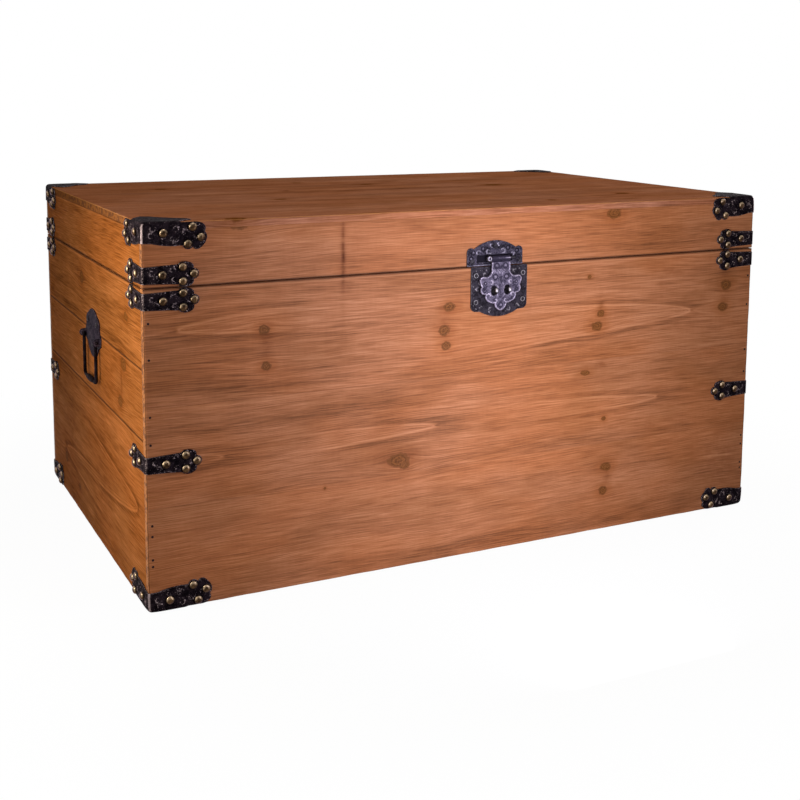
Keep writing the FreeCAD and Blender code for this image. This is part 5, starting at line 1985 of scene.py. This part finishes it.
class Fasteners:
    """Ring-headed screws, brads and pins."""

    HANDLE_SCREWS = ((-22.0, 10.0), (22.0, 10.0), (0.0, -15.5))
    HINGE_SCREWS = ((-22.0, 17.0), (0.0, 12.0), (22.0, 17.0))
    UPPER_SCREWS = ((0.0, 21.4), (-29.0, 5.0), (31.8, 4.6))
    BRAD_LEVELS = (47.0, 54.0, 78.0, 89.0, 171.0, 199.0, 256.0, 292.0)
    BRAD_INSET = 4.75
    HINGE_OFFSET = 235.0
    LEAF_THICK = 1.6
    SEAT = 2.0
    LOWER_SHINE, UPPER_SHINE, HINGE_SHINE, HANDLE_SHINE = 0.66, 0.25, 0.8, 0.1

    def __init__(self, box: WoodenBox, hasp: Hasp, handles: Handles) -> None:
        """Keep what the fasteners hold together."""
        self.box, self.hasp, self.handles = box, hasp, handles

    @staticmethod
    def head_profile() -> Array:
        """A ring head: a raised rim round a deep hollow."""
        return curve((2.9, -0.3), (2.85, 0.3), ((2.75, 0.85), (2.4, 1)), ((2, 0.8), (1.8, 0.15)),
                     (0.01, 0.05))

    def screws(self) -> dict[str, list[tuple[Array, Array, float]]]:
        """Find every screw.

        Returns:
            Place, direction and brightness of each, by the part of the chest that carries it.
        """
        hasp, handles = self.hasp, self.handles
        front = hasp.face - hasp.PLATE_THICK
        base = [(np.array([hasp.centre + x, front, hasp.lower_zero + z]), -BACK, self.LOWER_SHINE)
                for x, z in hasp.LOWER_SCREWS]
        lid = [(np.array([hasp.upper_centre + x, front, hasp.upper_zero + z]), -BACK, self.UPPER_SHINE)
               for x, z in self.UPPER_SCREWS]
        for side in (-1.0, 1.0):
            for x, z in self.HINGE_SCREWS:
                for screws, up in ((base, -1.0), (lid, 1.0)):
                    place = np.array([side * self.HINGE_OFFSET + x, self.box.high[1] + self.LEAF_THICK,
                                      self.box.seam + up * z])
                    screws.append((place, BACK, self.HINGE_SHINE))
        for name, sign in (("left", -1.0), ("right", 1.0)):
            for x, z in self.HANDLE_SCREWS:
                place = handles.settle(name, *map(np.array, (x, self.SEAT, z + handles.LIFT)))
                base.append((place, sign * RIGHT, self.HANDLE_SHINE))
        return {"base": base, "lid": lid}

    def build_screws(self, material: Material) -> None:
        """All the screws of the base, and all of the lid.

        Args:
            material: their finish.
        """
        profile = self.head_profile()
        worn = np.interp(profile[:, 1], (0.1, 0.5, 0.9), (-0.4, 0.4, 0.95))
        for part, items in self.screws().items():
            places, ways, shine = (np.stack(column) for column in zip(*items))
            skin = Skin()
            for head, bright in zip(revolve(profile, places, ways, 18), shine):
                skin.add(head, worn * bright)
            install(skin.build("screws_" + part, material), part, "bright_steel", part + "_screws")

    def build_brads(self) -> None:
        """Small dark brad heads that stand a hair proud of the front and the back."""
        profile = curve((1.35, -0.3), (1.3, 0.05), ((0.7, 0.16), (0.01, 0.18)))
        half = self.box.high[0] - self.BRAD_INSET
        heads = [((side * half, y, self.box.floor_level + level), face * BACK)
                 for level in self.BRAD_LEVELS for side in (-1.0, 1.0)
                 for face, y in ((-1.0, self.box.low[1]), (1.0, self.box.high[1]))]
        skin = Skin()
        for head in revolve(profile, *(np.array(column) for column in zip(*heads)), 12):
            skin.add(head)
        install(skin.build("brads_wall", RUSTED_WIRE.material()), "base", "bright_steel", "wall_brads")

    def build(self) -> None:
        """Make the fasteners, and dress the hinges and pins that stay as they are."""
        bright = BRIGHT_WIRE.material()
        self.build_screws(bright)
        self.build_brads()
        iron = PLATE_IRON.material()
        for side in ("left", "right"):
            for leaf in ("base", "lid"):
                dress("%s_hinge_%s_leaf" % (side, leaf), iron)
        for pin in ("hinge_pins", "hasp_pin"):
            dress(pin, bright)


# ------------------------------------------------------------------ studio

def pose(right: Array, back: Array, place: Sequence[float]) -> Matrix:
    """The matrix of a camera or lamp.

    Args:
        right: the unit vector to its right.
        back: the unit vector opposite to the way it looks.
        place: where it is, in metres.

    Returns:
        The matrix.
    """
    matrix = np.eye(4)
    matrix[:3] = np.stack([right, np.cross(back, right), back, np.array(place)], -1)
    return Matrix(matrix.tolist())


@dataclass(frozen=True)
class Lamp:
    """A soft lamp: where it hangs and what it lights in metres, its size, watts and colour."""

    name: str
    place: Place
    target: Place
    size: Spot
    power: float
    colour: Colour

    def hang(self) -> None:
        """Make the lamp and aim it."""
        data = bpy.data.lights.new(self.name, "AREA")
        data.shape, data.size, data.size_y = "RECTANGLE", *self.size
        data.energy, data.color = self.power, self.colour
        lamp = bpy.data.objects.new(self.name, data)
        lamp.visible_camera = False
        back = unit(np.array(self.place) - np.array(self.target))
        lamp.matrix_world = pose(unit(np.cross(UP + 1e-3 * BACK, back)), back, self.place)
        bpy.context.scene.collection.objects.link(lamp)


LAMPS = (
    Lamp("key_lamp", (0.005, -0.555, 0.29), (0.005, 0.0, 0.29), (0.18, 0.60), 1.76, (1.0, 1.03, 1.32)),
    Lamp("top_lamp", (0.0, -0.08, 1.65), (0.0, -0.08, 0.0), (0.34, 0.34), 2.9, (1.0, 0.98, 0.98)),
    Lamp("glint_lamp", (0.85, -0.95, 1.00), (0.0, 0.0, 0.20), (0.30, 0.30), 0.7, (1.0, 0.97, 0.95)),
    Lamp("left_lamp", (-0.66, -0.25, 0.33), (-0.38, -0.25, 0.26), (0.12, 0.40), 1.52, (1.0, 0.96, 0.88)),
    Lamp("right_lamp", (1.50, 0.35, 0.60), (0.3, 0.1, 0.20), (0.60, 0.60), 12.0, (1.0, 0.97, 0.94)),
    Lamp("back_lamp", (0.20, 1.40, 0.22), (0.1, 0.2, 0.20), (0.80, 0.30), 10.0, (1.0, 0.97, 0.94)))


@dataclass(frozen=True)
class Studio:
    """Camera, lamps, floor and a white surround."""

    camera_place: Place = (-0.67160, -1.38836, 0.52370)
    azimuth: float = -26.3656
    elevation: float = 7.5282
    roll: float = 0.0067
    lens: float = 54.90
    sensor: float = 36.0
    shift: float = -0.1925
    sky: float = 0.15
    sky_light: Colour = (1.0, 0.88, 0.70)
    white: Colour = (1.0, 1.0, 1.0)
    floor_light: Colour = (0.40, 0.40, 0.40)
    floor_seen: Colour = (0.86, 0.86, 0.86)
    floor_rings: tuple[float, ...] = (0.0, 500.0, 1500.0, 6000.0)

    def build_camera(self) -> None:
        """Aim the camera: its back vector from azimuth and elevation, its right level but for the roll."""
        turn, lift = math.radians(self.azimuth), math.radians(self.elevation)
        back = np.array([math.sin(turn) * math.cos(lift), -math.cos(turn) * math.cos(lift), math.sin(lift)])
        level = unit(np.cross(UP, back))
        right = math.cos(self.roll) * level + math.sin(self.roll) * np.cross(back, level)
        data = bpy.data.cameras.new("camera")
        data.sensor_width, data.lens, data.shift_y = self.sensor, self.lens, self.shift
        camera = bpy.data.objects.new("camera", data)
        camera.matrix_world = pose(right, back, self.camera_place)
        bpy.context.scene.collection.objects.link(camera)
        bpy.context.scene.camera = camera

    @staticmethod
    def seen_directly(graph: Graph) -> Value:
        """Tell what is seen from light that falls on the chest.

        Args:
            graph: the graph that asks.

        Returns:
            1 for what the camera, a mirror or glass sees, 0 for the rest.
        """
        camera, mirror_ray, glass = (graph.read("ShaderNodeLightPath", output="Is %s Ray" % kind)
                                     for kind in ("Camera", "Glossy", "Transmission"))
        return camera.math("MAXIMUM", mirror_ray).math("MAXIMUM", glass)

    def build_floor(self) -> None:
        """A wide pale floor that looks white and keeps a faint shadow."""
        graph = Graph.of_material("studio_floor")
        seen = self.seen_directly(graph)
        shine = graph.read("ShaderNodeEmission", None, {"Color": (*self.white, 1.0), "Strength": 1.0})
        pale = graph.blend(seen, self.floor_light, self.floor_seen)
        matt = graph.read("ShaderNodeBsdfDiffuse", None, {"Color": pale})
        x, y, _ = graph.object_position()
        far = (x * x + y * y).math("SQRT").smooth(450.0, 800.0)
        mix = graph.read("ShaderNodeMixShader", None, {0: seen * (far * 0.03 + 0.97), 1: matt, 2: shine})
        graph.add("ShaderNodeOutputMaterial", None, {0: mix})
        ring = np.linspace(0, math.tau, 65)[:, None]
        reach = np.array(self.floor_rings)[None]
        skin = Skin()
        skin.add(np.stack([reach * np.sin(ring), reach * np.cos(ring), 0 * reach * ring], -1))
        floor = skin.build("studio_floor", graph.owner)

    def build_sky(self) -> None:
        """White where it is seen, dimmer where it lights the chest."""
        world = bpy.data.worlds.new("studio_sky")
        bpy.context.scene.world = world
        graph = Graph(world)
        seen = self.seen_directly(graph)
        colour = graph.blend(seen, self.sky_light, self.white)
        sky = graph.read("ShaderNodeBackground", None,
                         {"Color": colour, "Strength": seen * (1.0 - self.sky) + self.sky})
        graph.add("ShaderNodeOutputWorld", None, {0: sky})

    def build(self) -> None:
        """Set the whole studio up."""
        bpy.context.scene.view_settings.view_transform = "Standard"
        self.build_camera()
        self.build_sky()
        self.build_floor()
        for lamp in LAMPS:
            lamp.hang()


def main() -> None:
    """Build the chest and the studio."""
    logging.basicConfig(level=logging.INFO, format="%(name)s %(message)s")
    box = WoodenBox()
    box.build()
    brackets = {"nails": BRACKET_NAILS, "scroll_centres": BRACKET_SCROLLS, "capped": True}
    straps = {"nails": STRAP_NAILS, "scroll_centres": STRAP_SCROLLS, "capped": False, "upside_down": False}
    base_irons = (
        CornerIron(box, "base_corner_bracket", "base", box.floor_level, upside_down=False, **brackets),
        CornerIron(box, "base_middle_strap", "base", box.floor_level + MIDDLE_STRAP_LEVEL, **straps),
        CornerIron(box, "base_upper_strap", "base", box.base_top - STRAP_INSET, **straps))
    lid_irons = (
        CornerIron(box, "lid_strap", "lid", box.lid_bottom + STRAP_INSET, **straps),
        CornerIron(box, "lid_corner_bracket", "lid", box.high[2], upside_down=True, **brackets))
    iron, brass = BLACK_IRON.material(), ANTIQUE_BRASS.material()
    for piece in base_irons + lid_irons:
        piece.build(iron)
    DomeNails("nails_base", "base_dome_nails", "base", base_irons).build(brass)
    DomeNails("nails_lid", "lid_dome_nails", "lid", lid_irons).build(brass)
    hasp, handles = Hasp(), Handles()
    hasp.build()
    handles.build()
    Fasteners(box, hasp, handles).build()
    Studio().build()


if __name__ == "__main__":
    main()
